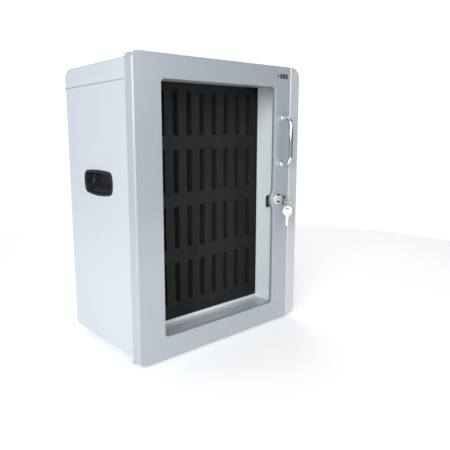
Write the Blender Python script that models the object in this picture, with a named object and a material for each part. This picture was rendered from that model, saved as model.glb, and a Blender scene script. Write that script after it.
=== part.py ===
# Phone charging kiosk: a tabletop cabinet with a windowed, lockable door in front of a
# foam rack of phone slots, and the chargers, power supplies and fans behind the rack.
# Frame: metres, +Z up, front towards -Y, origin on the floor under the middle of its box.

from math import acos, cos, pi, radians, sin

import bmesh
import bpy
from mathutils import Matrix, Vector

# Overall sizes
WIDTH = 0.498
HEIGHT = 0.640                 # door and post, top to bottom
DEPTH = 0.2965                 # door face to rear flanges
HANDLE_REACH = 0.0315          # pull handle in front of the door face
REAR_REACH = 0.003             # inlet and switch flanges behind the rear flanges
FLOOR_GAP = 0.005              # floor to the lower edge of the door
GAP = 0.0003                   # clearance between neighbours that touch

# Body shell
SIDE_X = 0.245
WALL = 0.003
EDGE_R = 0.006
BODY_FRONT = 0.0271
BODY_BOTTOM = FLOOR_GAP + 0.0097
BODY_TOP = FLOOR_GAP + HEIGHT - 0.007
SEAM_Z = FLOOR_GAP + 0.590
SEAM_GAP = 0.0006
COVER_REAR_R = 0.020
FLANGE = 0.026                 # depth of the panels' return flanges, across the panel

# Door and post
FRONT_T = 0.0261
FACE_T = 0.005
DOOR_WALL = 0.003
DOOR_LEFT = -WIDTH / 2
DOOR_RIGHT = 0.2134
POST_LEFT = 0.2144
DOOR_CORNER_R = 0.015
POST_CORNER_R = 0.025
FRONT_ROUND = 0.004
WINDOW = (-0.1813, 0.1603, FLOOR_GAP + 0.0507, FLOOR_GAP + 0.5909)
WINDOW_R = 0.009
PANE_MARGIN = 0.004
LOCK_X = 0.1736
LOCK_Z = FLOOR_GAP + 0.3183
BOSS_X = 0.1899
BOSS_R = 0.0381
HINGE_X = -0.2455
HINGE_D = 0.0266
LEAF_LEFT = -0.2355            # hinge leaf, clear of the door's rounded corner
LEAF_RIGHT = -0.212
BRACKET_LEFT = -0.2440
BRACKET_RIGHT = -0.205
BRACKET_STEP = -0.228           # the arm that carries the pin is narrower than the plate
PIVOT_R = 0.003

# Cabinet interior
INNER_X = 0.2177
INNER_FLOOR = FLOOR_GAP + 0.0249
INNER_TOP = FLOOR_GAP + 0.6002
SHEET = 0.0015
FOAM_FRONT = 0.1109
FOAM_BACK = 0.2350
FOAM_BOTTOM = FLOOR_GAP + 0.0332
COLUMNS = 10
SLOT_PITCH = 0.04035
SLOT_W = 0.015
SLOT_H = 0.1035
ROW_PITCH = 0.1360
ROW_TOP = FLOOR_GAP + 0.5816   # upper edge of the first row of slots
ROWS = 4
CABLE_HOLE = (0.012, 0.010)

# Side grips, as half sizes about their centre, and how far their sides bow out
GRIP_D = 0.1535
GRIP_Z = FLOOR_GAP + 0.3790
GRIP_HALF = (0.0520, 0.0205)
GRIP_BOW = (0.0060, 0.0030, 0.0055)
GRIP_DEPTH = 0.0235
GRIP_CORNER_R = 0.0045

# Pull handle
HANDLE_X = 0.1865
HANDLE_LOW = FLOOR_GAP + 0.4060
HANDLE_HIGH = FLOOR_GAP + 0.5185
HANDLE_BAR_R = 0.0050
HANDLE_BEND = 0.0200

# Lock and keys
BARREL_R = 0.0090
FLANGE_R = 0.0135
PLUG_R = 0.0060
PLUG_END = 0.0300
CAM_LENGTH = 0.024
CAM_HALF = 0.0072
KEY_T = 0.0018
BOW_R = 0.0125
BOW_AT = -0.0185
EYE_R = 0.0036
EYE_AT = -0.0260
KEY_TIP = 0.0190
RING_R = 0.011
RING_WIRE = 0.0008
RING_LEAN = radians(44)
SPARE_TURN = radians(30)

# Rear fittings
FAN_X = (-0.105, 0.105)
FAN_Z = FLOOR_GAP + 0.500
FAN_SIZE = 0.070
FAN_BORE = 0.032
FAN_T = 0.015
INLET_X = -0.150
SWITCH_X = -0.085
SERVICE_Z = FLOOR_GAP + 0.085
ROCKER_PIVOT = DEPTH - 0.0055
ROCKER_TILT = radians(9)
INLET_CUT = 0.0145              # half widths of the rear cut-outs
SWITCH_CUT = 0.0100
SERVICE_CUT = 0.0140            # half height of both
VENT_HALF = 0.030
VENT_PITCH = 0.009
VENT_H = 0.006
VENTS = 7
SUPPLY_X = (-0.095, 0.095)
SUPPLY_HALF = 0.080
SUPPLY_Z = (FLOOR_GAP + 0.165, FLOOR_GAP + 0.265)
SUPPLY_D = (0.262, 0.290)

# The key ring reaches furthest forward, and the origin is in the middle of the overall depth
FRONT_REACH = RING_R + RING_WIRE / 2 - EYE_AT
FACE_Y = (FRONT_REACH - DEPTH - REAR_REACH) / 2

materials = {}
bodies = {"root": [], "door": [], "lock": [], "keys": [], "rocker": [], "fan_left": [], "fan_right": []}


def front(depth):
    return FACE_Y + depth


def material(name, color, roughness, metallic=0.0, alpha=1.0):
    made = bpy.data.materials.new(name)
    made.use_nodes = True
    shader = made.node_tree.nodes["Principled BSDF"]
    shader.inputs["Base Color"].default_value = (*color, 1.0)
    shader.inputs["Roughness"].default_value = roughness
    shader.inputs["Metallic"].default_value = metallic
    shader.inputs["Alpha"].default_value = alpha
    materials[name] = made


def finish(name, mesh_data, body, finish_name, smooth=35):
    """Turn a bmesh into a named object of one body."""
    bmesh.ops.recalc_face_normals(mesh_data, faces=mesh_data.faces)
    mesh = bpy.data.meshes.new(name)
    mesh_data.to_mesh(mesh)
    mesh_data.free()
    mesh.shade_smooth()
    mesh.set_sharp_from_angle(angle=radians(smooth))
    made = bpy.data.objects.new(name, mesh)
    bpy.context.collection.objects.link(made)
    if body:
        made.data.materials.append(materials[finish_name])
        bodies[body].append(made)
    else:
        made.hide_render = True
        made.display_type = "WIRE"
    return made


def loft(name, loops, body=None, finish_name=None, ring=False, smooth=35):
    """Skin a series of loops with the same number of points; a ring closes on itself."""
    mesh_data = bmesh.new()
    rows = [[mesh_data.verts.new(point) for point in loop] for loop in loops]
    count = len(rows[0])
    pairs = list(zip(rows, rows[1:]))
    if ring:
        pairs.append((rows[-1], rows[0]))
    for low, high in pairs:
        for index in range(count):
            after = (index + 1) % count
            mesh_data.faces.new((low[index], low[after], high[after], high[index]))
    if not ring:
        mesh_data.faces.new(rows[0])
        mesh_data.faces.new(rows[-1])
    return finish(name, mesh_data, body, finish_name, smooth)


def on_plane(outline, axis, value):
    """Place a flat outline across the named axis at a value."""
    if axis == "Y":
        return [(p, value, q) for p, q in outline]
    if axis == "X":
        return [(value, p, q) for p, q in outline]
    return [(p, q, value) for p, q in outline]


def prism(name, outline, axis, start, end, body=None, finish_name=None, smooth=35):
    loops = [on_plane(outline, axis, start), on_plane(outline, axis, end)]
    return loft(name, loops, body, finish_name, smooth=smooth)


def arc(center, radius, start, end, steps):
    angles = [start + (end - start) * step / steps for step in range(steps + 1)]
    return [(center[0] + radius * cos(a), center[1] + radius * sin(a)) for a in angles]


def circle(center, radius, sides=32):
    return arc(center, radius, 0, 2 * pi, sides)[:-1]


def rectangle(p0, p1, q0, q1):
    return [(p0, q0), (p1, q0), (p1, q1), (p0, q1)]


def rounded(p0, p1, q0, q1, radii, steps=6):
    """Rounded rectangle; radii run from the low-low corner anticlockwise."""
    corners = ((p0, q0, 1, 1), (p1, q0, -1, 1), (p1, q1, -1, -1), (p0, q1, 1, -1))
    points = []
    for turn, ((p, q, right, up), radius) in enumerate(zip(corners, radii)):
        start = pi + turn * pi / 2
        center = (p + right * radius, q + up * radius)
        points += arc(center, radius, start, start + pi / 2, steps)
    return points


def window_outline(grow):
    """Outline of the door's window grown by a margin, notched round the lock boss."""
    left, right, low, high = WINDOW
    left, right, low, high = left - grow, right + grow, low - grow, high + grow
    reach = BOSS_R - grow
    half = acos((BOSS_X - right) / reach)
    corner = WINDOW_R + grow
    points = arc((left + corner, low + corner), corner, pi, 1.5 * pi, 5)
    points += arc((right - corner, low + corner), corner, 1.5 * pi, 2 * pi, 5)
    points += arc((BOSS_X, LOCK_Z), reach, pi + half, pi - half, 10)
    points += arc((right - corner, high - corner), corner, 0, pi / 2, 5)
    points += arc((left + corner, high - corner), corner, pi / 2, pi, 5)
    return points


def box(name, low, high, body=None, finish_name=None, bevel=0.0, edges=None, segments=4):
    """Box, with all its edges or only the picked ones rounded."""
    mesh_data = bmesh.new()
    bmesh.ops.create_cube(mesh_data, size=1.0)
    size = Vector(high) - Vector(low)
    middle = (Vector(high) + Vector(low)) / 2
    bmesh.ops.transform(mesh_data, matrix=Matrix.Diagonal((*size, 1.0)), verts=mesh_data.verts)
    bmesh.ops.translate(mesh_data, vec=middle, verts=mesh_data.verts)
    if bevel:
        picked = [edge for edge in mesh_data.edges if edges is None or touches(edge, low, high, edges)]
        bmesh.ops.bevel(mesh_data, geom=picked, offset=bevel, segments=segments,
                        profile=0.5, affect="EDGES", clamp_overlap=True)
    return finish(name, mesh_data, body, finish_name)


def touches(edge, low, high, pairs):
    """True when an edge of a box is shared by one of the named pairs of sides."""
    middle = (edge.verts[0].co + edge.verts[1].co) / 2
    sides = set()
    for index, letter in enumerate("xyz"):
        if abs(middle[index] - low[index]) < 1e-6:
            sides.add("-" + letter)
        if abs(middle[index] - high[index]) < 1e-6:
            sides.add("+" + letter)
    return any(set(pair) == sides for pair in pairs)


def cells(name, xs, zs, solid, start, end, body, finish_name):
    """Flat plate or lattice across Y, made of the cells of a grid that are solid."""
    mesh_data = bmesh.new()
    verts = {}

    def corner(i, j, y):
        if (i, j, y) not in verts:
            verts[(i, j, y)] = mesh_data.verts.new((xs[i], y, zs[j]))
        return verts[(i, j, y)]

    filled = {(i, j) for i in range(len(xs) - 1) for j in range(len(zs) - 1) if solid(i, j)}
    for i, j in filled:
        square = ((i, j), (i + 1, j), (i + 1, j + 1), (i, j + 1))
        for y in (start, end):
            mesh_data.faces.new([corner(a, b, y) for a, b in square])
        neighbours = ((i, j - 1), (i + 1, j), (i, j + 1), (i - 1, j))
        for side, neighbour in enumerate(neighbours):
            if neighbour not in filled:
                a, b = square[side], square[(side + 1) % 4]
                mesh_data.faces.new((corner(*a, start), corner(*b, start), corner(*b, end), corner(*a, end)))
    return finish(name, mesh_data, body, finish_name)


def tube(name, path, radii, body=None, finish_name=None, sides=12):
    """Round bar along a list of points, with a radius for each, as one skinned solid."""
    loops = []
    for index, point in enumerate(path):
        ahead = path[min(index + 1, len(path) - 1)]
        behind = path[max(index - 1, 0)]
        along = (Vector(ahead) - Vector(behind)).normalized()
        across = Vector((1, 0, 0))
        up = along.cross(across).normalized()
        turns = [2 * pi * side / sides for side in range(sides)]
        ring = [Vector(point) + radii[index] * (across * cos(a) + up * sin(a)) for a in turns]
        loops.append([tuple(p) for p in ring])
    return loft(name, loops, body, finish_name, smooth=50)


def cut(target, *cutters):
    for cutter in cutters:
        change = target.modifiers.new("cut", "BOOLEAN")
        change.operation = "DIFFERENCE"
        change.object = cutter
    return target


def unite(target, *others):
    for other in others:
        change = target.modifiers.new("join", "BOOLEAN")
        change.operation = "UNION"
        change.object = other
    return target


def move_mesh(made, matrix):
    made.data.transform(matrix)
    return made


def make_materials():
    material("case_plastic", (0.80, 0.84, 0.88), 0.40)
    material("silver_paint", (0.42, 0.45, 0.48), 0.38, 0.2)
    material("post_paint", (0.52, 0.55, 0.58), 0.38, 0.2)
    material("liner_paint", (0.66, 0.70, 0.76), 0.35)
    material("black_foam", (0.025, 0.025, 0.027), 0.95)
    material("black_plastic", (0.02, 0.02, 0.022), 0.45)
    material("black_rubber", (0.015, 0.015, 0.015), 0.80)
    material("chrome", (0.85, 0.86, 0.88), 0.08, 1.0)
    material("nickel", (0.72, 0.70, 0.66), 0.25, 1.0)
    material("zinc_steel", (0.60, 0.61, 0.62), 0.38, 1.0)
    material("clear_acrylic", (0.90, 0.95, 0.97), 0.05, 0.0, 0.25)
    material("circuit_board", (0.02, 0.16, 0.07), 0.50)


def side_grip_outline(grow):
    """Grip outline in depth and height: a rounded oblong whose four sides bow out."""
    half_d, half_z = GRIP_HALF[0] + grow, GRIP_HALF[1] + grow
    bow_end, bow_top, bow_low = GRIP_BOW
    corners = rounded(-half_d, half_d, -half_z, half_z, (max(GRIP_CORNER_R + grow, 0.0012),) * 4, 4)
    points = []
    for index, (p, q) in enumerate(corners):
        steps = [(p, q)]
        after = corners[(index + 1) % len(corners)]
        if index % 5 == 4:
            steps += [(p + (after[0] - p) * t / 4, q + (after[1] - q) * t / 4) for t in (1, 2, 3)]
        points += steps
    bowed = []
    for p, q in points:
        along_d, along_z = 1 - (p / half_d) ** 2, 1 - (q / half_z) ** 2
        bow = bow_top if q > 0 else bow_low
        share_d, share_z = abs(p) / half_d, abs(q) / half_z
        p_out = p + (1 if p > 0 else -1) * bow_end * along_z * share_d
        q_out = q + (1 if q > 0 else -1) * bow * along_d * share_z
        bowed.append((front(GRIP_D) + p_out, GRIP_Z + q_out))
    return bowed


def make_side(name, side):
    """Side panel with return flanges under and behind, and a hole for its grip."""
    inner = SIDE_X - FLANGE
    low = (min(side * inner, side * SIDE_X), front(BODY_FRONT), BODY_BOTTOM)
    high = (max(side * inner, side * SIDE_X), front(DEPTH), SEAM_Z - SEAM_GAP / 2)
    outside = "+x" if side > 0 else "-x"
    rims = ((outside, "-z"), (outside, "+y"), ("-z", "+y"))
    panel = box(name, low, high, "root", "case_plastic", EDGE_R, rims)
    hollow_low = (side * (SIDE_X - WALL) if side < 0 else 0.1, low[1] - 0.01, low[2] + WALL)
    hollow_high = (-0.1 if side < 0 else side * (SIDE_X - WALL), high[1] - WALL, high[2] + 0.01)
    hollow = box(name + "_hollow", hollow_low, hollow_high, bevel=EDGE_R - WALL, edges=rims)
    hole = prism(name + "_hole", side_grip_outline(0.0005), "X", side * 0.230, side * 0.250)
    return cut(panel, hollow, hole)


def make_grip(name, side):
    """Recessed carrying grip: a flanged cup set into a side panel."""
    flange_in, flange_out = side * (SIDE_X + GAP), side * (SIDE_X + 0.0018)
    floor = side * (SIDE_X - GRIP_DEPTH + 0.002)
    back = side * (SIDE_X - GRIP_DEPTH)
    loops = [on_plane(side_grip_outline(-0.0055), "X", floor),
             on_plane(side_grip_outline(-0.0020), "X", flange_out),
             on_plane(side_grip_outline(0.0025), "X", flange_out),
             on_plane(side_grip_outline(0.0035), "X", flange_in),
             on_plane(side_grip_outline(0.0), "X", flange_in),
             on_plane(side_grip_outline(-0.0030), "X", back)]
    return loft(name, loops, "root", "black_plastic")


def make_cover():
    """Top cover: an inverted tray, open in front, with a well rounded rear edge."""
    low = (-SIDE_X, front(BODY_FRONT), SEAM_Z + SEAM_GAP / 2)
    high = (SIDE_X, front(DEPTH), BODY_TOP)
    rear = arc((high[1] - COVER_REAR_R, high[2] - COVER_REAR_R), COVER_REAR_R, 0, pi / 2, 8)
    profile = [(low[1], low[2]), (high[1], low[2])] + rear + [(low[1], high[2])]
    cover = prism("top_cover", profile, "X", -SIDE_X, SIDE_X, "root", "case_plastic")
    shape = bmesh.new()
    shape.from_mesh(cover.data)
    rims = []
    for edge in shape.edges:
        points = [vert.co for vert in edge.verts]
        on_side = all(abs(abs(point.x) - SIDE_X) < 1e-6 for point in points)
        same_side = points[0].x * points[1].x > 0
        on_front = all(abs(point.y - low[1]) < 1e-6 for point in points)
        on_seam = all(abs(point.z - low[2]) < 1e-6 for point in points)
        if on_side and same_side and not on_front and not on_seam:
            rims.append(edge)
    bmesh.ops.bevel(shape, geom=rims, offset=EDGE_R, segments=4, profile=0.5, affect="EDGES")
    shape.to_mesh(cover.data)
    shape.free()
    cover.data.shade_smooth()
    cover.data.set_sharp_from_angle(angle=radians(35))
    inner_r = COVER_REAR_R - WALL
    rear = arc((high[1] - COVER_REAR_R, high[2] - COVER_REAR_R), inner_r, 0, pi / 2, 8)
    inside = [(low[1] - 0.01, low[2] - 0.01), (high[1] - WALL, low[2] - 0.01)] + rear
    inside += [(low[1] - 0.01, high[2] - WALL)]
    hollow = prism("top_cover_hollow", inside, "X", -SIDE_X + WALL, SIDE_X - WALL)
    return cut(cover, hollow)


def make_shell():
    make_side("left_side_panel", -1)
    make_side("right_side_panel", 1)
    make_grip("left_grip", -1)
    make_grip("right_grip", 1)
    make_cover()
    inner = SIDE_X - FLANGE - GAP
    box("base_panel", (-inner, front(BODY_FRONT), BODY_BOTTOM),
        (inner, front(DEPTH), BODY_BOTTOM + WALL), "root", "case_plastic")
    for number, (side, depth) in enumerate(((-1, 0.065), (1, 0.065), (-1, 0.262), (1, 0.262)), 1):
        spot = (side * 0.185, front(depth))
        loops = [on_plane(circle(spot, radius, 24), "Z", z)
                 for radius, z in ((0.0140, 0.0), (0.0155, 0.0015), (0.0140, BODY_BOTTOM - GAP))]
        loft(f"foot_{number}", loops, "root", "black_rubber")


def make_frame():
    """Front frame that the door closes on, its strike tab, and the fixed right post."""
    inset = WALL + 0.0011
    edge = SIDE_X - inset
    tab = LOCK_X + 0.0169
    xs = (-edge, -INNER_X, tab, INNER_X, edge)
    zs = (BODY_BOTTOM + inset, INNER_FLOOR, LOCK_Z - 0.014, LOCK_Z + 0.014, INNER_TOP,
          BODY_TOP - WALL - GAP)

    def solid(i, j):
        return i in (0, 3) or j in (0, 4) or (i == 2 and j == 2)

    cells("front_frame", xs, zs, solid, front(BODY_FRONT), front(BODY_FRONT + WALL), "root", "liner_paint")
    low, high = FLOOR_GAP, FLOOR_GAP + HEIGHT
    right = WIDTH / 2
    loops = []
    for step in range(6):
        angle = step * pi / 2 / 5
        inset = FRONT_ROUND * (1 - cos(angle))
        depth = FRONT_ROUND * (1 - sin(angle))
        side = 0.3 * inset
        radii = (0.001, POST_CORNER_R - inset, POST_CORNER_R - inset, 0.001)
        outline = rounded(POST_LEFT + side, right - inset, low + inset, high - inset, radii)
        loops.append(on_plane(outline, "Y", front(depth)))
    radii = (0.001, POST_CORNER_R, POST_CORNER_R, 0.001)
    back = rounded(POST_LEFT, right, low, high, radii)
    loops.insert(0, on_plane(back, "Y", front(BODY_FRONT - GAP)))
    post = loft("front_post", loops, "root", "post_paint")
    wall = 0.003
    inside = rounded(POST_LEFT + wall, right - wall, low + wall, high - wall,
                     (0.001, POST_CORNER_R - wall, POST_CORNER_R - wall, 0.001))
    cut(post, prism("post_hollow", inside, "Y", front(0.004), front(0.04)))


def make_liner():
    """Sheet liner of the phone compartment, the floor's screws and the sill under the foam."""
    start, end = front(BODY_FRONT + WALL + GAP), front(FOAM_BACK)
    low, high = INNER_FLOOR + GAP, INNER_TOP - GAP
    for name, side in (("liner_left", -1), ("liner_right", 1)):
        box(name, (min(side * INNER_X, side * (INNER_X + SHEET)), start, low),
            (max(side * INNER_X, side * (INNER_X + SHEET)), end, high), "root", "liner_paint")
    across = INNER_X + SHEET
    box("liner_ceiling", (-across, start, INNER_TOP), (across, end, INNER_TOP + SHEET), "root", "liner_paint")
    floor = box("liner_floor", (-across, start, INNER_FLOOR - SHEET), (across, end, INNER_FLOOR),
                "root", "liner_paint")
    sill_front = FOAM_FRONT - 0.0005
    box("foam_sill", (-INNER_X + GAP, front(sill_front), INNER_FLOOR + GAP),
        (INNER_X - GAP, front(sill_front + 0.012), FOAM_BOTTOM - GAP), "root", "liner_paint")
    for name, x in (("floor_screw_left", -0.147), ("floor_screw_right", 0.147)):
        spot = (x, front(0.1019))
        cut(floor, prism(name + "_hole", circle(spot, 0.0022, 16), "Z", 0.02, 0.04))
        steps = ((0.0018, INNER_FLOOR - 0.007), (0.0018, INNER_FLOOR + GAP),
                 (0.0036, INNER_FLOOR + GAP), (0.0036, INNER_FLOOR + 0.0010), (0.0024, INNER_FLOOR + 0.0022))
        loft(name, [on_plane(circle(spot, radius, 16), "Z", z) for radius, z in steps], "root", "zinc_steel")


def slot_lines(width):
    """Edges of the columns of openings of a given width, left to right."""
    lines = []
    for column in range(COLUMNS):
        middle = (column - (COLUMNS - 1) / 2) * SLOT_PITCH
        lines += [middle - width / 2, middle + width / 2]
    return lines


def row_top(row):
    return ROW_TOP - row * ROW_PITCH


def make_rack():
    """Four foam rows of through slots, the cable plate behind them and a charger for each row."""
    edge = INNER_X - GAP
    xs = [-edge] + slot_lines(SLOT_W) + [edge]
    for row in range(ROWS):
        top = row_top(row)
        middle_gap = (ROW_PITCH - SLOT_H) / 2
        ceiling = INNER_TOP - GAP if row == 0 else top + middle_gap - GAP / 2
        floor = FOAM_BOTTOM if row == ROWS - 1 else top - SLOT_H - middle_gap + GAP / 2
        zs = [floor, top - SLOT_H, top, ceiling]
        cells(f"foam_row_{row + 1}", xs, zs, lambda i, j: i % 2 == 0 or j != 1,
              front(FOAM_FRONT), front(FOAM_BACK), "root", "black_foam")
    plate_edge = SIDE_X - FLANGE - GAP
    hole_w, hole_h = CABLE_HOLE
    plate_xs = [-plate_edge] + slot_lines(hole_w) + [plate_edge]
    plate_zs = [BODY_BOTTOM + WALL + GAP]
    for row in reversed(range(ROWS)):
        low = row_top(row) - SLOT_H + 0.012
        plate_zs += [low, low + hole_h]
    plate_zs.append(INNER_TOP + SHEET)
    cells("cable_plate", plate_xs, plate_zs, lambda i, j: i % 2 == 0 or j % 2 == 0,
          front(FOAM_BACK + GAP), front(FOAM_BACK + GAP + SHEET), "root", "zinc_steel")
    for row in range(ROWS):
        make_charger(f"charger_strip_{row + 1}", row_top(row) - SLOT_H + 0.030)


def make_charger(name, low):
    """Circuit board of one row with a socket for each slot, as one stepped outline."""
    board = front(FOAM_BACK + 0.0098)
    socket = board + 0.008
    points = [(0.208, board), (0.208, board + 0.0016)]
    for column in reversed(range(COLUMNS)):
        middle = (column - (COLUMNS - 1) / 2) * SLOT_PITCH
        points += [(middle + 0.0075, board + 0.0016), (middle + 0.0075, socket),
                   (middle - 0.0075, socket), (middle - 0.0075, board + 0.0016)]
    points += [(-0.208, board + 0.0016), (-0.208, board)]
    prism(name, points, "Z", low, low + 0.016, "root", "circuit_board")


def make_supplies():
    """Two power supplies between the charger strips, with grooves for air in their backs."""
    low_z, high_z = SUPPLY_Z
    near, far = SUPPLY_D
    for name, x in zip(("power_supply_left", "power_supply_right"), SUPPLY_X):
        case = box(name, (x - SUPPLY_HALF, front(near), low_z), (x + SUPPLY_HALF, front(far), high_z),
                   "root", "zinc_steel", 0.0015, segments=2)
        for step in range(5):
            z = low_z + 0.020 + step * 0.013
            vent = box(f"{name}_vent_{step}", (x - 0.055, front(far - 0.005), z),
                       (x + 0.055, front(far + 0.005), z + VENT_H))
            cut(case, vent)


def rear_panel_rows():
    """Heights of the rear panel's cell edges, with the fan slots and the service cut-outs."""
    slots = []
    for step in range(VENTS):
        low = FAN_Z - (VENTS * VENT_PITCH - (VENT_PITCH - VENT_H)) / 2 + step * VENT_PITCH
        slots += [low, low + VENT_H]
    return [BODY_BOTTOM + WALL + GAP, SERVICE_Z - SERVICE_CUT, SERVICE_Z + SERVICE_CUT] + slots + [SEAM_Z - 0.004]


def make_rear():
    edge = SIDE_X - FLANGE - GAP
    half = VENT_HALF
    xs = sorted([-edge, INLET_X - INLET_CUT, INLET_X + INLET_CUT, SWITCH_X - SWITCH_CUT, SWITCH_X + SWITCH_CUT,
                 FAN_X[0] - half, FAN_X[0] + half, FAN_X[1] - half, FAN_X[1] + half, edge])
    zs = rear_panel_rows()

    def solid(i, j):
        middle = (xs[i] + xs[i + 1]) / 2
        if j == 1:
            in_inlet = abs(middle - INLET_X) < INLET_CUT
            in_switch = abs(middle - SWITCH_X) < SWITCH_CUT
            return not (in_inlet or in_switch)
        if j >= 3 and j % 2 == 1 and j < len(zs) - 1:
            return all(abs(middle - x) > half for x in FAN_X)
        return True

    panel = cells("rear_panel", xs, zs, solid, front(DEPTH - WALL), front(DEPTH), "root", "case_plastic")
    for number, (x, z) in enumerate(((-0.209, 0.06), (0.209, 0.06), (-0.209, 0.56), (0.209, 0.56)), 1):
        height = FLOOR_GAP + z
        cut(panel, prism(f"rear_screw_hole_{number}", circle((x, height), 0.0020, 16), "Y",
                         front(DEPTH - 0.01), front(DEPTH + 0.01)))
        steps = ((0.0016, DEPTH - 0.008), (0.0016, DEPTH + GAP), (0.0036, DEPTH + GAP),
                 (0.0036, DEPTH + 0.0010), (0.0024, DEPTH + 0.0020))
        loops = [on_plane(circle((x, height), radius, 16), "Y", front(depth)) for radius, depth in steps]
        loft(f"rear_screw_{number}", loops, "root", "zinc_steel")


def make_fan(name, rotor_name, body, x):
    """Square fan frame with a hub on three struts, and its rotor."""
    start, end = DEPTH - WALL - GAP - FAN_T, DEPTH - WALL - GAP
    half = FAN_SIZE / 2
    square = rounded(x - half, x + half, FAN_Z - half, FAN_Z + half, (0.005,) * 4, 4)
    frame = prism(name, square, "Y", front(start), front(end), "root", "black_plastic")
    bore = prism(name + "_bore", circle((x, FAN_Z), FAN_BORE, 40), "Y", front(start - 0.01), front(end + 0.01))
    cut(frame, bore)
    hub = prism(name + "_hub", circle((x, FAN_Z), 0.012, 24), "Y", front(end - 0.003), front(end))
    unite(frame, hub)
    for turn in range(3):
        strut = box(f"{name}_strut_{turn}", (0.008, -0.0014, 0.0), (FAN_BORE + 0.0015, 0.0014, 0.0028))
        angle = Matrix.Rotation(pi / 2 + turn * 2 * pi / 3, 4, "Y")
        lie = Matrix.Rotation(-pi / 2, 4, "X")
        move_mesh(strut, Matrix.Translation((x, front(end), FAN_Z)) @ angle @ lie.inverted())
        unite(frame, strut)
    rotor_end = end - 0.003 - 0.0006
    rotor = prism(rotor_name, circle((x, FAN_Z), 0.012, 24), "Y", front(start + 0.001), front(rotor_end),
                  body, "black_plastic")
    for turn in range(7):
        blade = fan_blade(f"{rotor_name}_blade_{turn}", turn * 2 * pi / 7, start + 0.002, rotor_end - 0.001)
        move_mesh(blade, Matrix.Translation((x, 0, FAN_Z)))
        unite(rotor, blade)


def fan_blade(name, turn, start, end):
    """One twisted blade from inside the hub to just inside the bore."""
    loops = []
    for radius in (0.010, 0.016, 0.023, 0.0305):
        spread = 0.26
        corners = []
        for shift, depth in ((-spread, start), (spread, end)):
            for thick in ((-0.0006, 0.0006) if depth == start else (0.0006, -0.0006)):
                angle = turn + shift + thick / radius * 1.2
                corners.append((radius * cos(angle), front(depth), radius * sin(angle)))
        loops.append(corners)
    return loft(name, loops)


def make_service():
    """Mains inlet with its pins, and the rocker switch in its housing."""
    out = DEPTH + REAR_REACH
    inlet = box("mains_inlet", (INLET_X - 0.020, front(DEPTH + GAP), SERVICE_Z - 0.0165),
                (INLET_X + 0.020, front(out), SERVICE_Z + 0.0165), "root", "black_plastic", 0.0012, segments=2)
    body = box("inlet_body", (INLET_X - 0.0140, front(DEPTH - 0.022), SERVICE_Z - 0.0135),
               (INLET_X + 0.0140, front(DEPTH + 0.001), SERVICE_Z + 0.0135))
    well = box("inlet_well", (INLET_X - 0.0115, front(DEPTH - 0.016), SERVICE_Z - 0.0085),
               (INLET_X + 0.0115, front(out + 0.01), SERVICE_Z + 0.0085), bevel=0.003,
               edges=(("-x", "+z"), ("+x", "+z")), segments=3)
    unite(inlet, body)
    cut(inlet, well)
    for number, (x, z) in enumerate(((-0.007, -0.002), (0.007, -0.002), (0.0, 0.002))):
        pin = box(f"inlet_pin_{number}", (INLET_X + x - 0.001, front(DEPTH - 0.018), SERVICE_Z + z - 0.002),
                  (INLET_X + x + 0.001, front(DEPTH - 0.002), SERVICE_Z + z + 0.002))
        unite(inlet, pin)
    housing = box("switch_housing", (SWITCH_X - 0.0125, front(DEPTH + GAP), SERVICE_Z - 0.0165),
                  (SWITCH_X + 0.0125, front(DEPTH + 0.0022), SERVICE_Z + 0.0165),
                  "root", "black_plastic", 0.0008, segments=2)
    can = box("switch_can", (SWITCH_X - 0.0096, front(DEPTH - 0.020), SERVICE_Z - 0.0136),
              (SWITCH_X + 0.0096, front(DEPTH + 0.001), SERVICE_Z + 0.0136))
    well = box("switch_well", (SWITCH_X - 0.0072, front(DEPTH - 0.012), SERVICE_Z - 0.0115),
               (SWITCH_X + 0.0072, front(DEPTH + 0.02), SERVICE_Z + 0.0115))
    unite(housing, can)
    cut(housing, well)
    rocker = rocker_outline()
    prism("rocker_switch", rocker, "X", SWITCH_X - 0.0068, SWITCH_X + 0.0068, "rocker", "black_plastic")


def rocker_outline():
    """Shallow V-topped rocker, resting tilted to its off side."""
    profile = [(0.0, -0.0045), (0.0100, 0.0005), (0.0104, 0.0055), (0.0055, 0.0050), (0.0, 0.0040),
               (-0.0055, 0.0050), (-0.0104, 0.0055), (-0.0100, 0.0005)]
    points = []
    for z, depth in profile:
        turned_z = z * cos(ROCKER_TILT) - depth * sin(ROCKER_TILT)
        turned_d = z * sin(ROCKER_TILT) + depth * cos(ROCKER_TILT)
        points.append((front(ROCKER_PIVOT + turned_d), SERVICE_Z + turned_z))
    return points


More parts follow.
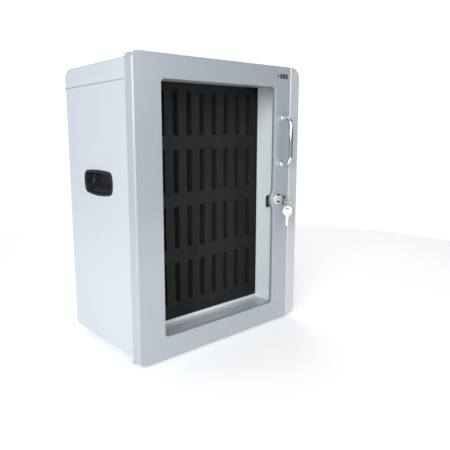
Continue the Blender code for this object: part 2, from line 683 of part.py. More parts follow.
def make_hinge(name, bracket_z, leaf_z, pin_z):
    """Pivot bracket with its pin on the body, and the leaf inside the door that turns on it."""
    axis = (HINGE_X, front(HINGE_D))
    plate = [(BRACKET_LEFT, 0.0269), (BRACKET_RIGHT, 0.0269), (BRACKET_RIGHT, 0.0500), (BRACKET_STEP, 0.0500),
             (BRACKET_STEP, 0.0335), (BRACKET_LEFT, 0.0335)]
    bracket = prism(f"hinge_bracket_{name}", [(x, front(depth)) for x, depth in plate],
                    "Z", *bracket_z, "root", "zinc_steel")
    unite(bracket, prism(f"bracket_eye_{name}", circle(axis, PIVOT_R, 24), "Z", *bracket_z))
    unite(bracket, prism(f"bracket_pin_{name}", circle(axis, 0.0012, 16), "Z", *pin_z))
    leaf = prism(f"hinge_leaf_{name}", rectangle(LEAF_LEFT, LEAF_RIGHT, front(0.010), front(HINGE_D)),
                 "Z", *leaf_z, "door", "zinc_steel")
    unite(leaf, prism(f"leaf_neck_{name}", rectangle(HINGE_X, LEAF_LEFT + 0.001, front(0.0236), front(HINGE_D)),
                      "Z", *leaf_z))
    unite(leaf, prism(f"leaf_eye_{name}", circle(axis, PIVOT_R, 24), "Z", *leaf_z))
    low, high = min(leaf_z) - 0.001, max(leaf_z) + 0.001
    cut(leaf, prism(f"leaf_hole_{name}", circle(axis, 0.0015, 16), "Z", low, high))


def make_door_shell():
    """Door: a deep pan whose front edges are rounded, with the window and the lock boss."""
    low, high = FLOOR_GAP, FLOOR_GAP + HEIGHT
    loops = []
    radii = (DOOR_CORNER_R, 0.001, 0.001, DOOR_CORNER_R)
    back = rounded(DOOR_LEFT, DOOR_RIGHT, low, high, radii)
    loops.append(on_plane(back, "Y", front(FRONT_T)))
    for step in range(6):
        angle = step * pi / 2 / 5
        inset = FRONT_ROUND * (1 - cos(angle))
        corner = DOOR_CORNER_R - inset
        outline = rounded(DOOR_LEFT + inset, DOOR_RIGHT - 0.3 * inset, low + inset, high - inset,
                          (corner, 0.001, 0.001, corner))
        loops.append(on_plane(outline, "Y", front(FRONT_ROUND * (1 - sin(angle)))))
    shell = loft("door_shell", loops, "door", "silver_paint")
    wall = DOOR_WALL
    corner = DOOR_CORNER_R - wall
    inside = rounded(DOOR_LEFT + wall, DOOR_RIGHT - wall, low + wall, high - wall,
                     (corner, 0.001, 0.001, corner))
    cut(shell, prism("door_pocket", inside, "Y", front(FACE_T), front(0.04)))
    cut(shell, prism("door_window", window_outline(0.0), "Y", front(-0.01), front(0.02)))
    cut(shell, prism("lock_hole", circle((LOCK_X, LOCK_Z), BARREL_R + GAP, 32), "Y", front(-0.01), front(0.02)))
    for name, z in (("high", HANDLE_HIGH), ("low", HANDLE_LOW)):
        cut(shell, prism(f"handle_hole_{name}", circle((HANDLE_X, z), 0.0022, 16), "Y",
                         front(-0.01), front(0.02)))
    axis = (HINGE_X, front(HINGE_D))
    for name, start, end in (("high", BODY_TOP - 0.001, high - wall), ("low", low + wall, BODY_BOTTOM + 0.0005)):
        cut(shell, prism(f"hinge_notch_{name}", circle(axis, 0.0037, 24), "Z", start, end))
        cut(shell, prism(f"neck_notch_{name}", rectangle(HINGE_X, -0.234, axis[1] - 0.0037, axis[1] + 0.002),
                         "Z", start, end))


def make_glazing():
    """Gasket, clear pane and the retainer frame that holds it against the door's face."""
    gasket = (FACE_T + GAP, FACE_T + 0.0018)
    loops = [on_plane(window_outline(grow), "Y", front(depth))
             for grow, depth in ((PANE_MARGIN, gasket[0]), (PANE_MARGIN, gasket[1]),
                                (-0.0004, gasket[1]), (-0.0004, gasket[0]))]
    loft("window_gasket", loops, "door", "black_rubber", ring=True)
    pane = (gasket[1] + GAP, gasket[1] + GAP + 0.003)
    prism("window_pane", window_outline(PANE_MARGIN), "Y", front(pane[0]), front(pane[1]), "door", "clear_acrylic")
    lip = (pane[1] + GAP, pane[1] + GAP + SHEET)
    inner, outer = PANE_MARGIN + 0.0004, PANE_MARGIN + 0.0020
    rim = ((outer, FACE_T + GAP), (outer, lip[1]), (0.0015, lip[1]), (0.0015, lip[0]),
           (inner, lip[0]), (inner, FACE_T + GAP))
    loops = [on_plane(window_outline(grow), "Y", front(depth)) for grow, depth in rim]
    loft("pane_retainer", loops, "door", "black_plastic", ring=True)


def make_handle():
    """D-shaped pull: two feet, two wide bends and a straight bar, and its screws from behind."""
    reach = -HANDLE_REACH + HANDLE_BAR_R
    bend = HANDLE_BEND
    path = [(-GAP, HANDLE_HIGH), (-0.0022, HANDLE_HIGH), (-0.0026, HANDLE_HIGH), (-0.006, HANDLE_HIGH)]
    radii = [0.0068, 0.0068, 0.0050, HANDLE_BAR_R]
    path += arc((reach + bend, HANDLE_HIGH - bend), bend, pi / 2, pi, 7)
    path += arc((reach + bend, HANDLE_LOW + bend), bend, pi, 1.5 * pi, 7)
    radii += [HANDLE_BAR_R] * 16
    path += [(-0.006, HANDLE_LOW), (-0.0026, HANDLE_LOW), (-0.0022, HANDLE_LOW), (-GAP, HANDLE_LOW)]
    radii += [HANDLE_BAR_R, 0.0050, 0.0068, 0.0068]
    points = [(HANDLE_X, front(depth), z) for depth, z in path]
    tube("pull_handle", points, radii, "door", "chrome", sides=16)
    for name, z in (("handle_screw_high", HANDLE_HIGH), ("handle_screw_low", HANDLE_LOW)):
        steps = ((0.0019, 0.0), (0.0019, FACE_T + GAP), (0.0040, FACE_T + GAP), (0.0040, FACE_T + 0.0024))
        loops = [on_plane(circle((HANDLE_X, z), radius, 16), "Y", front(depth)) for radius, depth in steps]
        loft(name, loops, "door", "zinc_steel")


def make_lock():
    """Cam lock: barrel and nut on the door; plug, cam and key turning together."""
    center = (LOCK_X, LOCK_Z)
    bore = PLUG_R + GAP
    rim = ((bore, PLUG_END - 0.002), (bore, -0.0030), (bore + 0.0012, -0.0036), (FLANGE_R - 0.0022, -0.0036),
           (FLANGE_R, -0.0022), (FLANGE_R, -GAP), (BARREL_R, -GAP), (BARREL_R, PLUG_END - 0.002))
    loops = [on_plane(circle(center, radius, 32), "Y", front(depth)) for radius, depth in rim]
    loft("lock_barrel", loops, "door", "chrome", ring=True)
    rim = ((BARREL_R + GAP, FACE_T + GAP), (BARREL_R + GAP, FACE_T + 0.005), (0.0125, FACE_T + 0.005),
           (0.0125, FACE_T + GAP))
    hexagon = [1 / cos(((2 * pi * side / 24) % (pi / 3)) - pi / 6) for side in range(24)]
    loops = []
    for radius, depth in rim:
        outline = circle(center, radius, 24)
        if radius > 0.011:
            outline = [(LOCK_X + (x - LOCK_X) * grow * 0.95, LOCK_Z + (z - LOCK_Z) * grow * 0.95)
                       for (x, z), grow in zip(outline, hexagon)]
        loops.append(on_plane(outline, "Y", front(depth)))
    loft("lock_nut", loops, "door", "zinc_steel", ring=True)
    plug = prism("lock_plug", circle(center, PLUG_R, 32), "Y", front(-0.0030), front(PLUG_END), "lock", "chrome")
    cut(plug, box("keyway", (LOCK_X - KEY_T / 2 - GAP, front(-0.01), LOCK_Z - 0.0045),
                  (LOCK_X + KEY_T / 2 + GAP, front(KEY_TIP + 0.001), LOCK_Z + 0.0045)))
    cam = arc(center, CAM_HALF, 0, pi, 12)
    tip = LOCK_Z - CAM_LENGTH
    cam += [(LOCK_X - CAM_HALF, tip + 0.003), (LOCK_X - CAM_HALF + 0.003, tip),
            (LOCK_X + CAM_HALF - 0.003, tip), (LOCK_X + CAM_HALF, tip + 0.003)]
    prism("lock_cam", cam, "Y", front(PLUG_END + GAP), front(PLUG_END + GAP + 0.002), "lock", "zinc_steel")
    make_key("lock_key", "lock", Matrix.Translation((LOCK_X, front(0.0), LOCK_Z)))


def make_key(name, body, place):
    """Flat key: notched blade, shoulder and round bow with an eye, lying in the YZ plane."""
    half = 0.0041
    notches = [(0.0165, -half + 0.0012), (0.0135, -half), (0.0110, -half + 0.0018), (0.0080, -half + 0.0004),
               (0.0050, -half + 0.0016), (0.0025, -half)]
    blade = [(-0.0090, half), (KEY_TIP - 0.003, half), (KEY_TIP, half - 0.003), (KEY_TIP, -half + 0.003),
             (KEY_TIP - 0.001, -half + 0.001)] + notches + [(-0.0090, -half)]
    key = prism(name, circle((BOW_AT, 0.0), BOW_R, 40), "X", -KEY_T / 2, KEY_T / 2, body, "nickel")
    blade_piece = prism(name + "_blade", blade, "X", -KEY_T / 2, KEY_T / 2)
    eye = prism(name + "_eye", circle((EYE_AT, 0.0), EYE_R, 24), "X", -0.01, 0.01)
    for made in (key, blade_piece, eye):
        move_mesh(made, place)
    unite(key, blade_piece)
    return cut(key, eye)


def ring_center():
    eye = Vector((LOCK_X, front(EYE_AT), LOCK_Z))
    return eye + RING_R * Vector((sin(RING_LEAN), 0, -cos(RING_LEAN)))


def make_keys():
    """Wire ring through the lock key's eye, and the spare key hanging from it."""
    center = ring_center()
    loops = []
    for turn in range(36):
        angle = 2 * pi * turn / 36
        out = Vector((cos(angle), 0, sin(angle)))
        ring = []
        for side in range(8):
            around = 2 * pi * side / 8
            spot = center + out * (RING_R + RING_WIRE * cos(around)) + Vector((0, RING_WIRE * sin(around), 0))
            ring.append(tuple(spot))
        loops.append(ring)
    loft("key_ring", loops, "keys", "nickel", ring=True, smooth=60)
    bottom = center + Vector((0, 0, -RING_R))
    eye = bottom - Vector((0, 0, EYE_R - RING_WIRE - GAP))
    hang = Matrix.Rotation(-pi / 2, 4, "X")
    turn = Matrix.Rotation(SPARE_TURN, 4, "Z")
    to_eye = Matrix.Translation((0, -EYE_AT, 0))
    make_key("spare_key", "keys", Matrix.Translation(eye) @ turn @ hang @ to_eye)


def group(body, spot):
    """Hang a body's pieces on an empty that stands on its joint's axis."""
    axis = bpy.data.objects.new(f"{body}_axis", None)
    bpy.context.collection.objects.link(axis)
    axis.location = spot
    for piece in bodies[body]:
        piece.data.transform(Matrix.Translation(-Vector(spot)))
        piece.parent = axis


def build():
    for old in list(bpy.data.objects):
        bpy.data.objects.remove(old, do_unlink=True)
    make_materials()
    make_shell()
    make_frame()
    make_liner()
    make_rack()
    make_supplies()
    make_rear()
    make_fan("fan_frame_left", "fan_rotor_left", "fan_left", FAN_X[0])
    make_fan("fan_frame_right", "fan_rotor_right", "fan_right", FAN_X[1])
    make_service()
    make_hinge("high", (BODY_TOP + GAP, BODY_TOP + 0.0018), (BODY_TOP + 0.0022, BODY_TOP + 0.0037),
               (BODY_TOP + GAP, BODY_TOP + 0.0035))
    make_hinge("low", (BODY_BOTTOM - 0.0022, BODY_BOTTOM - GAP), (FLOOR_GAP + DOOR_WALL + GAP, BODY_BOTTOM - 0.0026),
               (FLOOR_GAP + DOOR_WALL + GAP, BODY_BOTTOM - GAP))
    make_door_shell()
    make_glazing()
    make_handle()
    make_lock()
    make_keys()
    group("door", (HINGE_X, front(HINGE_D), FLOOR_GAP))
    group("lock", (LOCK_X, front(0.0), LOCK_Z))
    group("keys", (LOCK_X, front(EYE_AT), LOCK_Z))
    group("rocker", (SWITCH_X, front(ROCKER_PIVOT), SERVICE_Z))
    group("fan_left", (FAN_X[0], front(DEPTH - 0.01), FAN_Z))
    group("fan_right", (FAN_X[1], front(DEPTH - 0.01), FAN_Z))


build()
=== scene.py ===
import math
import random

import bmesh
import bpy
from mathutils import Matrix, Vector


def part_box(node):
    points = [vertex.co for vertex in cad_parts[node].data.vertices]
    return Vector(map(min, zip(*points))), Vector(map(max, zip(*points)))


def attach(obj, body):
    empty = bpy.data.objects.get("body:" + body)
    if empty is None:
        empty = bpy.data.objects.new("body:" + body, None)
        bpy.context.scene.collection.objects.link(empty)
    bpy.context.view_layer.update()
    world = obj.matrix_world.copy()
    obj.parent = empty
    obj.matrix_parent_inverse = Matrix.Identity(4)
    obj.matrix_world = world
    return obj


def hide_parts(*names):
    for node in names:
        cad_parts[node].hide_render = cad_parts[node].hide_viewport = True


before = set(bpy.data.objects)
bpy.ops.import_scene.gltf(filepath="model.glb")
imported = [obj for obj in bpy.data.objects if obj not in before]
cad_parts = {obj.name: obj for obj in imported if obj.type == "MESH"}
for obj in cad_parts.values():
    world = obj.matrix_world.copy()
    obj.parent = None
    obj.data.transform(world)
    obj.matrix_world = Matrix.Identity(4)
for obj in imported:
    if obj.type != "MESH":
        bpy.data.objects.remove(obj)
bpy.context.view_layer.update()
scene = bpy.context.scene
print("phone locker: frame loaded,", len(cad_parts), "solids")


def middleOf(node):
    low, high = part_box(node)
    return (low + high) / 2


def arcPoints(center, radius, start, end, steps):
    turns = [start + (end - start) * step / steps for step in range(steps + 1)]
    return [(center[0] + radius * math.cos(a), center[1] + radius * math.sin(a)) for a in turns]


def circlePoints(center, radius, sides=48):
    return arcPoints(center, radius, 0, 2 * math.pi, sides)[:-1]


def roundedBox(p0, p1, q0, q1, radii, steps=8):
    # radii start at the low-low corner and go anticlockwise
    corners = ((p0, q0, 1, 1), (p1, q0, -1, 1), (p1, q1, -1, -1), (p0, q1, 1, -1))
    points = []
    for turn, ((p, q, right, up), radius) in enumerate(zip(corners, radii)):
        start = math.pi + turn * math.pi / 2
        points += arcPoints((p + right * radius, q + up * radius), radius, start, start + math.pi / 2, steps)
    return points


def withMorePoints(points, longest):
    made = []
    for here, there in zip(points, points[1:] + points[:1]):
        parts = max(1, math.ceil(math.dist(here, there) / longest))
        made += [(here[0] + (there[0] - here[0]) * k / parts, here[1] + (there[1] - here[1]) * k / parts)
                 for k in range(parts)]
    return made


def shrunk(points, amounts):
    # moves an anticlockwise outline inwards; amounts is one number or one per point
    if not hasattr(amounts, "__len__"):
        amounts = [amounts] * len(points)
    made = []
    for index, point in enumerate(points):
        here, before = Vector(point), Vector(points[index - 1])
        after = Vector(points[(index + 1) % len(points)])
        into, out = (here - before), (after - here)
        into = into.normalized() if into.length > 1e-7 else out.normalized()
        out = out.normalized() if out.length > 1e-7 else into
        sides = [Vector((-way.y, way.x)) for way in (into, out)]
        inward = (sides[0] + sides[1]).normalized()
        reach = min(1.5, 1 / max(0.3, inward.dot(sides[0])))
        made.append(tuple(here + inward * amounts[index] * reach))
    return made


def placed(points, across, values):
    # puts a flat outline across an axis, at one value or one per point
    if not hasattr(values, "__len__"):
        values = [values] * len(points)
    if across == "Y":
        return [(p, v, q) for (p, q), v in zip(points, values)]
    if across == "X":
        return [(v, p, q) for (p, q), v in zip(points, values)]
    return [(p, q, v) for (p, q), v in zip(points, values)]


def edgeRows(points, across, start, way, radius, steps=5, hole=False, support=0.0004):
    # rows that turn from a flat face over a rounded edge; radius is one number or one per point
    radii = radius if hasattr(radius, "__len__") else [radius] * len(points)
    sign = -1 if hole else 1
    rows = [placed(shrunk(points, [sign * (r + support) for r in radii]), across, start)]
    for step in range(steps + 1):
        angle = math.pi / 2 * step / steps
        inset = [sign * r * (1 - math.sin(angle)) for r in radii]
        depth = [start + way * r * (1 - math.cos(angle)) for r in radii]
        rows.append(placed(shrunk(points, inset), across, depth))
    return rows


def plainObject(name, shape, smooth=35):
    bmesh.ops.remove_doubles(shape, verts=shape.verts, dist=1e-6)
    bmesh.ops.dissolve_degenerate(shape, edges=shape.edges, dist=1e-6)
    bmesh.ops.recalc_face_normals(shape, faces=shape.faces)
    mesh = bpy.data.meshes.new(name)
    shape.to_mesh(mesh)
    shape.free()
    mesh.shade_smooth()
    mesh.set_sharp_from_angle(angle=math.radians(smooth))
    made = bpy.data.objects.new(name, mesh)
    scene.collection.objects.link(made)
    return made


def addChains(shape, chains, caps=(True, True), ring=False):
    # each chain is a list of rows; the first and the last rows of all the chains bound flat caps
    ends = ([], [])
    for chain in chains:
        rows = [[shape.verts.new(point) for point in row] for row in chain]
        pairs = list(zip(rows, rows[1:]))
        if ring:
            pairs.append((rows[-1], rows[0]))
        for low, high in pairs:
            for index in range(len(low)):
                after = (index + 1) % len(low)
                shape.faces.new((low[index], low[after], high[after], high[index]))
        ends[0].append(rows[0])
        ends[1].append(rows[-1])
    if ring:
        return
    for wanted, rows in zip(caps, ends):
        if not wanted:
            continue
        if len(rows) == 1 and len(rows[0]) <= 64:
            shape.faces.new(rows[0])
            continue
        edges = []
        for row in rows:
            for index in range(len(row)):
                pair = (row[index], row[(index + 1) % len(row)])
                edges.append(shape.edges.get(pair) or shape.edges.new(pair))
        bmesh.ops.triangle_fill(shape, use_beauty=True, edges=edges)


def solidFrom(name, chains, ring=False, smooth=35):
    shape = bmesh.new()
    addChains(shape, chains, ring=ring)
    return plainObject(name, shape, smooth)


def spun(name, profile, center, axis, sides=64, smooth=40):
    # profile is a closed line of (radius, place along the axis)
    rows = []
    for radius, place in profile:
        row = []
        for p, q in circlePoints((0, 0), radius, sides):
            row.append({"Y": (center[0] + p, place, center[2] + q),
                        "Z": (center[0] + p, center[1] + q, place)}[axis])
        rows.append(row)
    return solidFrom(name, [rows], ring=True, smooth=smooth)


def barAlong(name, path, radii, sides=32, closed=False, smooth=60, flatten=1.0):
    rows = []
    across = None
    count = len(path)
    for index, point in enumerate(path):
        if closed:
            ahead, behind = path[(index + 1) % count], path[index - 1]
        else:
            ahead, behind = path[min(index + 1, count - 1)], path[max(index - 1, 0)]
        along = (Vector(ahead) - Vector(behind)).normalized()
        if across is None:
            across = along.cross(Vector((0.13, 0.35, 0.93))).normalized()
        across = (across - along * across.dot(along)).normalized()
        up = along.cross(across)
        radius = radii[index] if hasattr(radii, "__len__") else radii
        rows.append([tuple(Vector(point) + radius * (across * math.cos(a) * flatten + up * math.sin(a)))
                     for a in [2 * math.pi * side / sides for side in range(sides)]])
    return solidFrom(name, [rows], ring=closed, smooth=smooth)


def cutAway(target, *cutters, smooth=35):
    for cutter in cutters:
        change = target.modifiers.new("cut", "BOOLEAN")
        change.operation = "DIFFERENCE"
        change.solver = "EXACT"
        change.object = cutter
    view = bpy.context.evaluated_depsgraph_get()
    view.update()
    mesh = bpy.data.meshes.new_from_object(target.evaluated_get(view))
    target.modifiers.clear()
    target.data = mesh
    mesh.shade_smooth()
    mesh.set_sharp_from_angle(angle=math.radians(smooth))
    for cutter in cutters:
        bpy.data.objects.remove(cutter)
    return target


def joined(name, *parts):
    shape = bmesh.new()
    for part in parts:
        part.data.transform(part.matrix_world)
        shape.from_mesh(part.data)
        bpy.data.objects.remove(part)
    return plainObject(name, shape)


def settle(made, finish, body, slot, *nodes):
    # gives a piece its finish and its body, and hides the solids it stands for
    made.data.materials.clear()
    made.data.materials.append(finish)
    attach(made, body)
    if nodes:
        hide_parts(*nodes)
    return made


cameraFacts = {"place": (-0.760, -0.92005, 0.487), "turn": 38.64, "tilt": -9.39, "roll": -0.67,
               "lens": 38.54, "shift": (0.0924, -0.0253), "film": 36, "clip": (0.02, 60)}


def makeCamera():
    turn, tilt, roll = (math.radians(cameraFacts[key]) for key in ("turn", "tilt", "roll"))
    ahead = Vector((math.sin(turn) * math.cos(tilt), math.cos(turn) * math.cos(tilt), math.sin(tilt)))
    side = Vector((math.cos(turn), -math.sin(turn), 0))
    up = side.cross(ahead)
    sideRolled = side * math.cos(roll) + up * math.sin(roll)
    upRolled = up * math.cos(roll) - side * math.sin(roll)
    data = bpy.data.cameras.new("camera")
    data.lens, data.sensor_width = cameraFacts["lens"], cameraFacts["film"]
    data.shift_x, data.shift_y = cameraFacts["shift"]
    data.clip_start, data.clip_end = cameraFacts["clip"]
    camera = bpy.data.objects.new("camera", data)
    camera.matrix_world = Matrix((
        (sideRolled.x, upRolled.x, -ahead.x, cameraFacts["place"][0]),
        (sideRolled.y, upRolled.y, -ahead.y, cameraFacts["place"][1]),
        (sideRolled.z, upRolled.z, -ahead.z, cameraFacts["place"][2]),
        (0, 0, 0, 1)))
    scene.collection.objects.link(camera)
    scene.camera = camera


roomLight = {"sky": (0.94, 0.97, 1.0), "strength": 0.50, "dim": (0.05, 0.05, 0.055),
             "dimTowards": (0.85, -0.53, 0.05), "dimFrom": 0.45, "dimFull": 0.80,
             "background": 1.05}


def makeRoom():
    scene.view_settings.view_transform = "Standard"
    scene.view_settings.look = "None"
    world = bpy.data.worlds.new("room")
    world.use_nodes = True
    scene.world = world
    nodes, links = world.node_tree.nodes, world.node_tree.links
    nodes.clear()
    where = nodes.new("ShaderNodeTexCoord")
    dot = nodes.new("ShaderNodeVectorMath")
    dot.operation = "DOT_PRODUCT"
    dot.inputs[1].default_value = Vector(roomLight["dimTowards"]).normalized()
    links.new(where.outputs["Generated"], dot.inputs[0])
    ramp = nodes.new("ShaderNodeMapRange")
    ramp.interpolation_type = "SMOOTHSTEP"
    ramp.inputs["From Min"].default_value = roomLight["dimFrom"]
    ramp.inputs["From Max"].default_value = roomLight["dimFull"]
    links.new(dot.outputs["Value"], ramp.inputs["Value"])
    mix = nodes.new("ShaderNodeMix")
    mix.data_type = "RGBA"
    mix.inputs["A"].default_value = (*roomLight["sky"], 1)
    mix.inputs["B"].default_value = (*roomLight["dim"], 1)
    links.new(ramp.outputs["Result"], mix.inputs["Factor"])
    lit = nodes.new("ShaderNodeBackground")
    lit.inputs["Strength"].default_value = roomLight["strength"]
    links.new(mix.outputs["Result"], lit.inputs["Color"])
    plain = nodes.new("ShaderNodeBackground")
    plain.inputs["Color"].default_value = (1, 1, 1, 1)
    plain.inputs["Strength"].default_value = roomLight["background"]
    path = nodes.new("ShaderNodeLightPath")
    both = nodes.new("ShaderNodeMixShader")
    seen = nodes.new("ShaderNodeMath")   # the camera also sees the background through the pane
    seen.operation = "MAXIMUM"
    links.new(path.outputs["Is Camera Ray"], seen.inputs[0])
    links.new(path.outputs["Is Transmission Ray"], seen.inputs[1])
    links.new(seen.outputs[0], both.inputs[0])
    links.new(lit.outputs[0], both.inputs[1])
    links.new(plain.outputs[0], both.inputs[2])
    links.new(both.outputs[0], nodes.new("ShaderNodeOutputWorld").inputs["Surface"])


softBoxes = {
    "keyBox": {"place": (-2.0, -1.35, 1.10), "size": 1.3, "power": 50, "colour": (0.96, 0.98, 1.0)},
    "frontBox": {"place": (0.5, -2.1, 1.15), "size": 1.2, "power": 7, "colour": (0.98, 0.99, 1.0)},
    "topBox": {"place": (0.2, 0.2, 2.4), "size": 1.6, "power": 6, "colour": (1.0, 0.99, 0.98)},
    "backBox": {"place": (1.3, 1.9, 1.5), "size": 1.6, "power": 18, "colour": (0.97, 0.98, 1.0)},
}
lampAim = (0, 0, 0.3)


def makeLights():
    for name, facts in softBoxes.items():
        data = bpy.data.lights.new(name, "AREA")
        data.shape, data.size = "SQUARE", facts["size"]
        data.energy, data.color = facts["power"], facts["colour"]
        lamp = bpy.data.objects.new(name, data)
        lamp.visible_transmission = False   # the pane lets their light through by itself
        lamp.location = facts["place"]
        aim = Vector(lampAim) - Vector(facts["place"])
        lamp.rotation_mode = "QUATERNION"
        lamp.rotation_quaternion = aim.to_track_quat("-Z", "Y")
        scene.collection.objects.link(lamp)


finishes = {}


def nodeMaker(name):
    made = bpy.data.materials.new(name)
    made.use_nodes = True
    nodes, links = made.node_tree.nodes, made.node_tree.links
    return made, nodes, links, nodes["Principled BSDF"]


def noiseFrom(nodes, links, where, scale, detail=3, roughness=0.55, stretch=(1, 1, 1)):
    texture = nodes.new("ShaderNodeTexNoise")
    texture.inputs["Scale"].default_value = scale
    texture.inputs["Detail"].default_value = detail
    texture.inputs["Roughness"].default_value = roughness
    if stretch != (1, 1, 1):
        mapping = nodes.new("ShaderNodeMapping")
        mapping.inputs["Scale"].default_value = stretch
        links.new(where, mapping.inputs["Vector"])
        where = mapping.outputs["Vector"]
    links.new(where, texture.inputs["Vector"])
    return texture.outputs["Fac"]


def spread(nodes, links, source, low, high, fromLow=0.3, fromHigh=0.7):
    change = nodes.new("ShaderNodeMapRange")
    change.inputs["From Min"].default_value = fromLow
    change.inputs["From Max"].default_value = fromHigh
    change.inputs["To Min"].default_value = low
    change.inputs["To Max"].default_value = high
    links.new(source, change.inputs["Value"])
    return change.outputs["Result"]


def mixColours(nodes, links, factor, first, second):
    mix = nodes.new("ShaderNodeMix")
    mix.data_type = "RGBA"
    for value, name in ((first, "A"), (second, "B")):
        if hasattr(value, "is_linked"):
            links.new(value, mix.inputs[name])
        else:
            mix.inputs[name].default_value = (*value, 1)
    links.new(factor, mix.inputs["Factor"])
    return mix.outputs["Result"]


def bumped(nodes, links, shader, height, strength, distance, before=None):
    bump = nodes.new("ShaderNodeBump")
    bump.inputs["Strength"].default_value = strength
    bump.inputs["Distance"].default_value = distance
    links.new(height, bump.inputs["Height"])
    if before is not None:
        links.new(before, bump.inputs["Normal"])
    links.new(bump.outputs["Normal"], shader.inputs["Normal"])
    return bump.outputs["Normal"]


def makeFinish(name, look):
    # mottled colour, uneven roughness, and a fine grain over a broad waviness
    made, nodes, links, shader = nodeMaker(name)
    where = nodes.new("ShaderNodeTexCoord").outputs["Object"]
    stretch = look.get("stretch", (1, 1, 1))
    mottle = noiseFrom(nodes, links, where, look["mottleScale"], 4, 0.6, stretch)
    factor = spread(nodes, links, mottle, 0, 1)
    colour = mixColours(nodes, links, factor, look["colour"], look["shade"])
    links.new(colour, shader.inputs["Base Color"])
    smudge = noiseFrom(nodes, links, where, look.get("smudgeScale", 9), 5, 0.6)
    links.new(spread(nodes, links, smudge, *look["roughness"]), shader.inputs["Roughness"])
    shader.inputs["Metallic"].default_value = look.get("metallic", 0.0)
    shader.inputs["Coat Weight"].default_value = look.get("coat", 0.0)
    shader.inputs["Coat Roughness"].default_value = look.get("coatRoughness", 0.12)
    shader.inputs["Specular IOR Level"].default_value = look.get("specular", 0.5)
    wave = noiseFrom(nodes, links, where, look.get("waveScale", 18), 2)
    normal = bumped(nodes, links, shader, wave, look.get("wave", 0.08), 0.0015)
    grain = noiseFrom(nodes, links, where, look["grainScale"], 2, 0.5, stretch)
    bumped(nodes, links, shader, grain, look["grain"], look.get("grainDepth", 0.0003), normal)
    finishes[name] = made
    return made


looks = {
    "casePaint": {"colour": (0.55, 0.59, 0.63), "shade": (0.53, 0.575, 0.62), "mottleScale": 3.5,
                  "roughness": (0.32, 0.38), "grainScale": 700, "grain": 0.10, "wave": 0.0,
                  "coat": 0.25, "coatRoughness": 0.22},
    "silverPaint": {"colour": (0.43, 0.465, 0.50), "shade": (0.415, 0.45, 0.49), "mottleScale": 4,
                    "roughness": (0.29, 0.33), "grainScale": 900, "grain": 0.10, "wave": 0.0,
                    "metallic": 0.10, "coat": 0.35, "coatRoughness": 0.18},
    "postPaint": {"colour": (0.61, 0.62, 0.65), "shade": (0.59, 0.605, 0.635), "mottleScale": 4,
                  "roughness": (0.30, 0.35), "grainScale": 900, "grain": 0.10, "wave": 0.0, "metallic": 0.08,
                  "coat": 0.3, "coatRoughness": 0.18},
    "linerPaint": {"colour": (0.83, 0.85, 0.875), "shade": (0.81, 0.835, 0.865), "mottleScale": 3,
                   "roughness": (0.16, 0.26), "grainScale": 500, "grain": 0.06, "wave": 0.06,
                   "coat": 0.4, "coatRoughness": 0.10},
    "floorPaint": {"colour": (0.53, 0.55, 0.58), "shade": (0.50, 0.525, 0.56), "mottleScale": 3,
                   "roughness": (0.14, 0.22), "grainScale": 500, "grain": 0.05, "wave": 0.04,
                   "coat": 0.4, "coatRoughness": 0.10},
    "blackPlastic": {"colour": (0.008, 0.010, 0.013), "shade": (0.012, 0.014, 0.018), "mottleScale": 30,
                     "roughness": (0.34, 0.48), "grainScale": 1500, "grain": 0.12, "wave": 0.03,
                     "specular": 0.22},
    "blackRubber": {"colour": (0.012, 0.012, 0.013), "shade": (0.022, 0.022, 0.023), "mottleScale": 60,
                    "roughness": (0.60, 0.78), "grainScale": 1200, "grain": 0.3, "wave": 0.05},
    "paleRubber": {"colour": (0.30, 0.32, 0.34), "shade": (0.26, 0.28, 0.30), "mottleScale": 60,
                   "roughness": (0.55, 0.70), "grainScale": 1200, "grain": 0.2, "wave": 0.02},
    "chromePlate": {"colour": (0.88, 0.88, 0.89), "shade": (0.84, 0.85, 0.87), "mottleScale": 20,
                    "roughness": (0.03, 0.09), "grainScale": 600, "grain": 0.02, "wave": 0.02,
                    "metallic": 1.0},
    "nickelPlate": {"colour": (0.80, 0.775, 0.72), "shade": (0.74, 0.715, 0.66), "mottleScale": 90,
                    "roughness": (0.22, 0.36), "grainScale": 1600, "grain": 0.20, "wave": 0.06,
                    "metallic": 1.0, "smudgeScale": 120},
    "zincSteel": {"colour": (0.60, 0.61, 0.62), "shade": (0.48, 0.50, 0.53), "mottleScale": 70,
                  "roughness": (0.28, 0.48), "grainScale": 400, "grain": 0.12, "wave": 0.05, "metallic": 1.0,
                  "smudgeScale": 60},
    "decalBlue": {"colour": (0.18, 0.42, 0.52), "shade": (0.16, 0.38, 0.48), "mottleScale": 80,
                  "roughness": (0.30, 0.40), "grainScale": 900, "grain": 0.05, "wave": 0.0},
    "decalDark": {"colour": (0.030, 0.036, 0.045), "shade": (0.045, 0.05, 0.06), "mottleScale": 80,
                  "roughness": (0.30, 0.40), "grainScale": 900, "grain": 0.05, "wave": 0.0},
}


foamLook = {"deep": (0.010, 0.0098, 0.0098), "top": (0.017, 0.0165, 0.0165),
            "streak": (0.024, 0.0235, 0.023), "poreShadow": (0.008, 0.008, 0.008), "poreScale": 620}


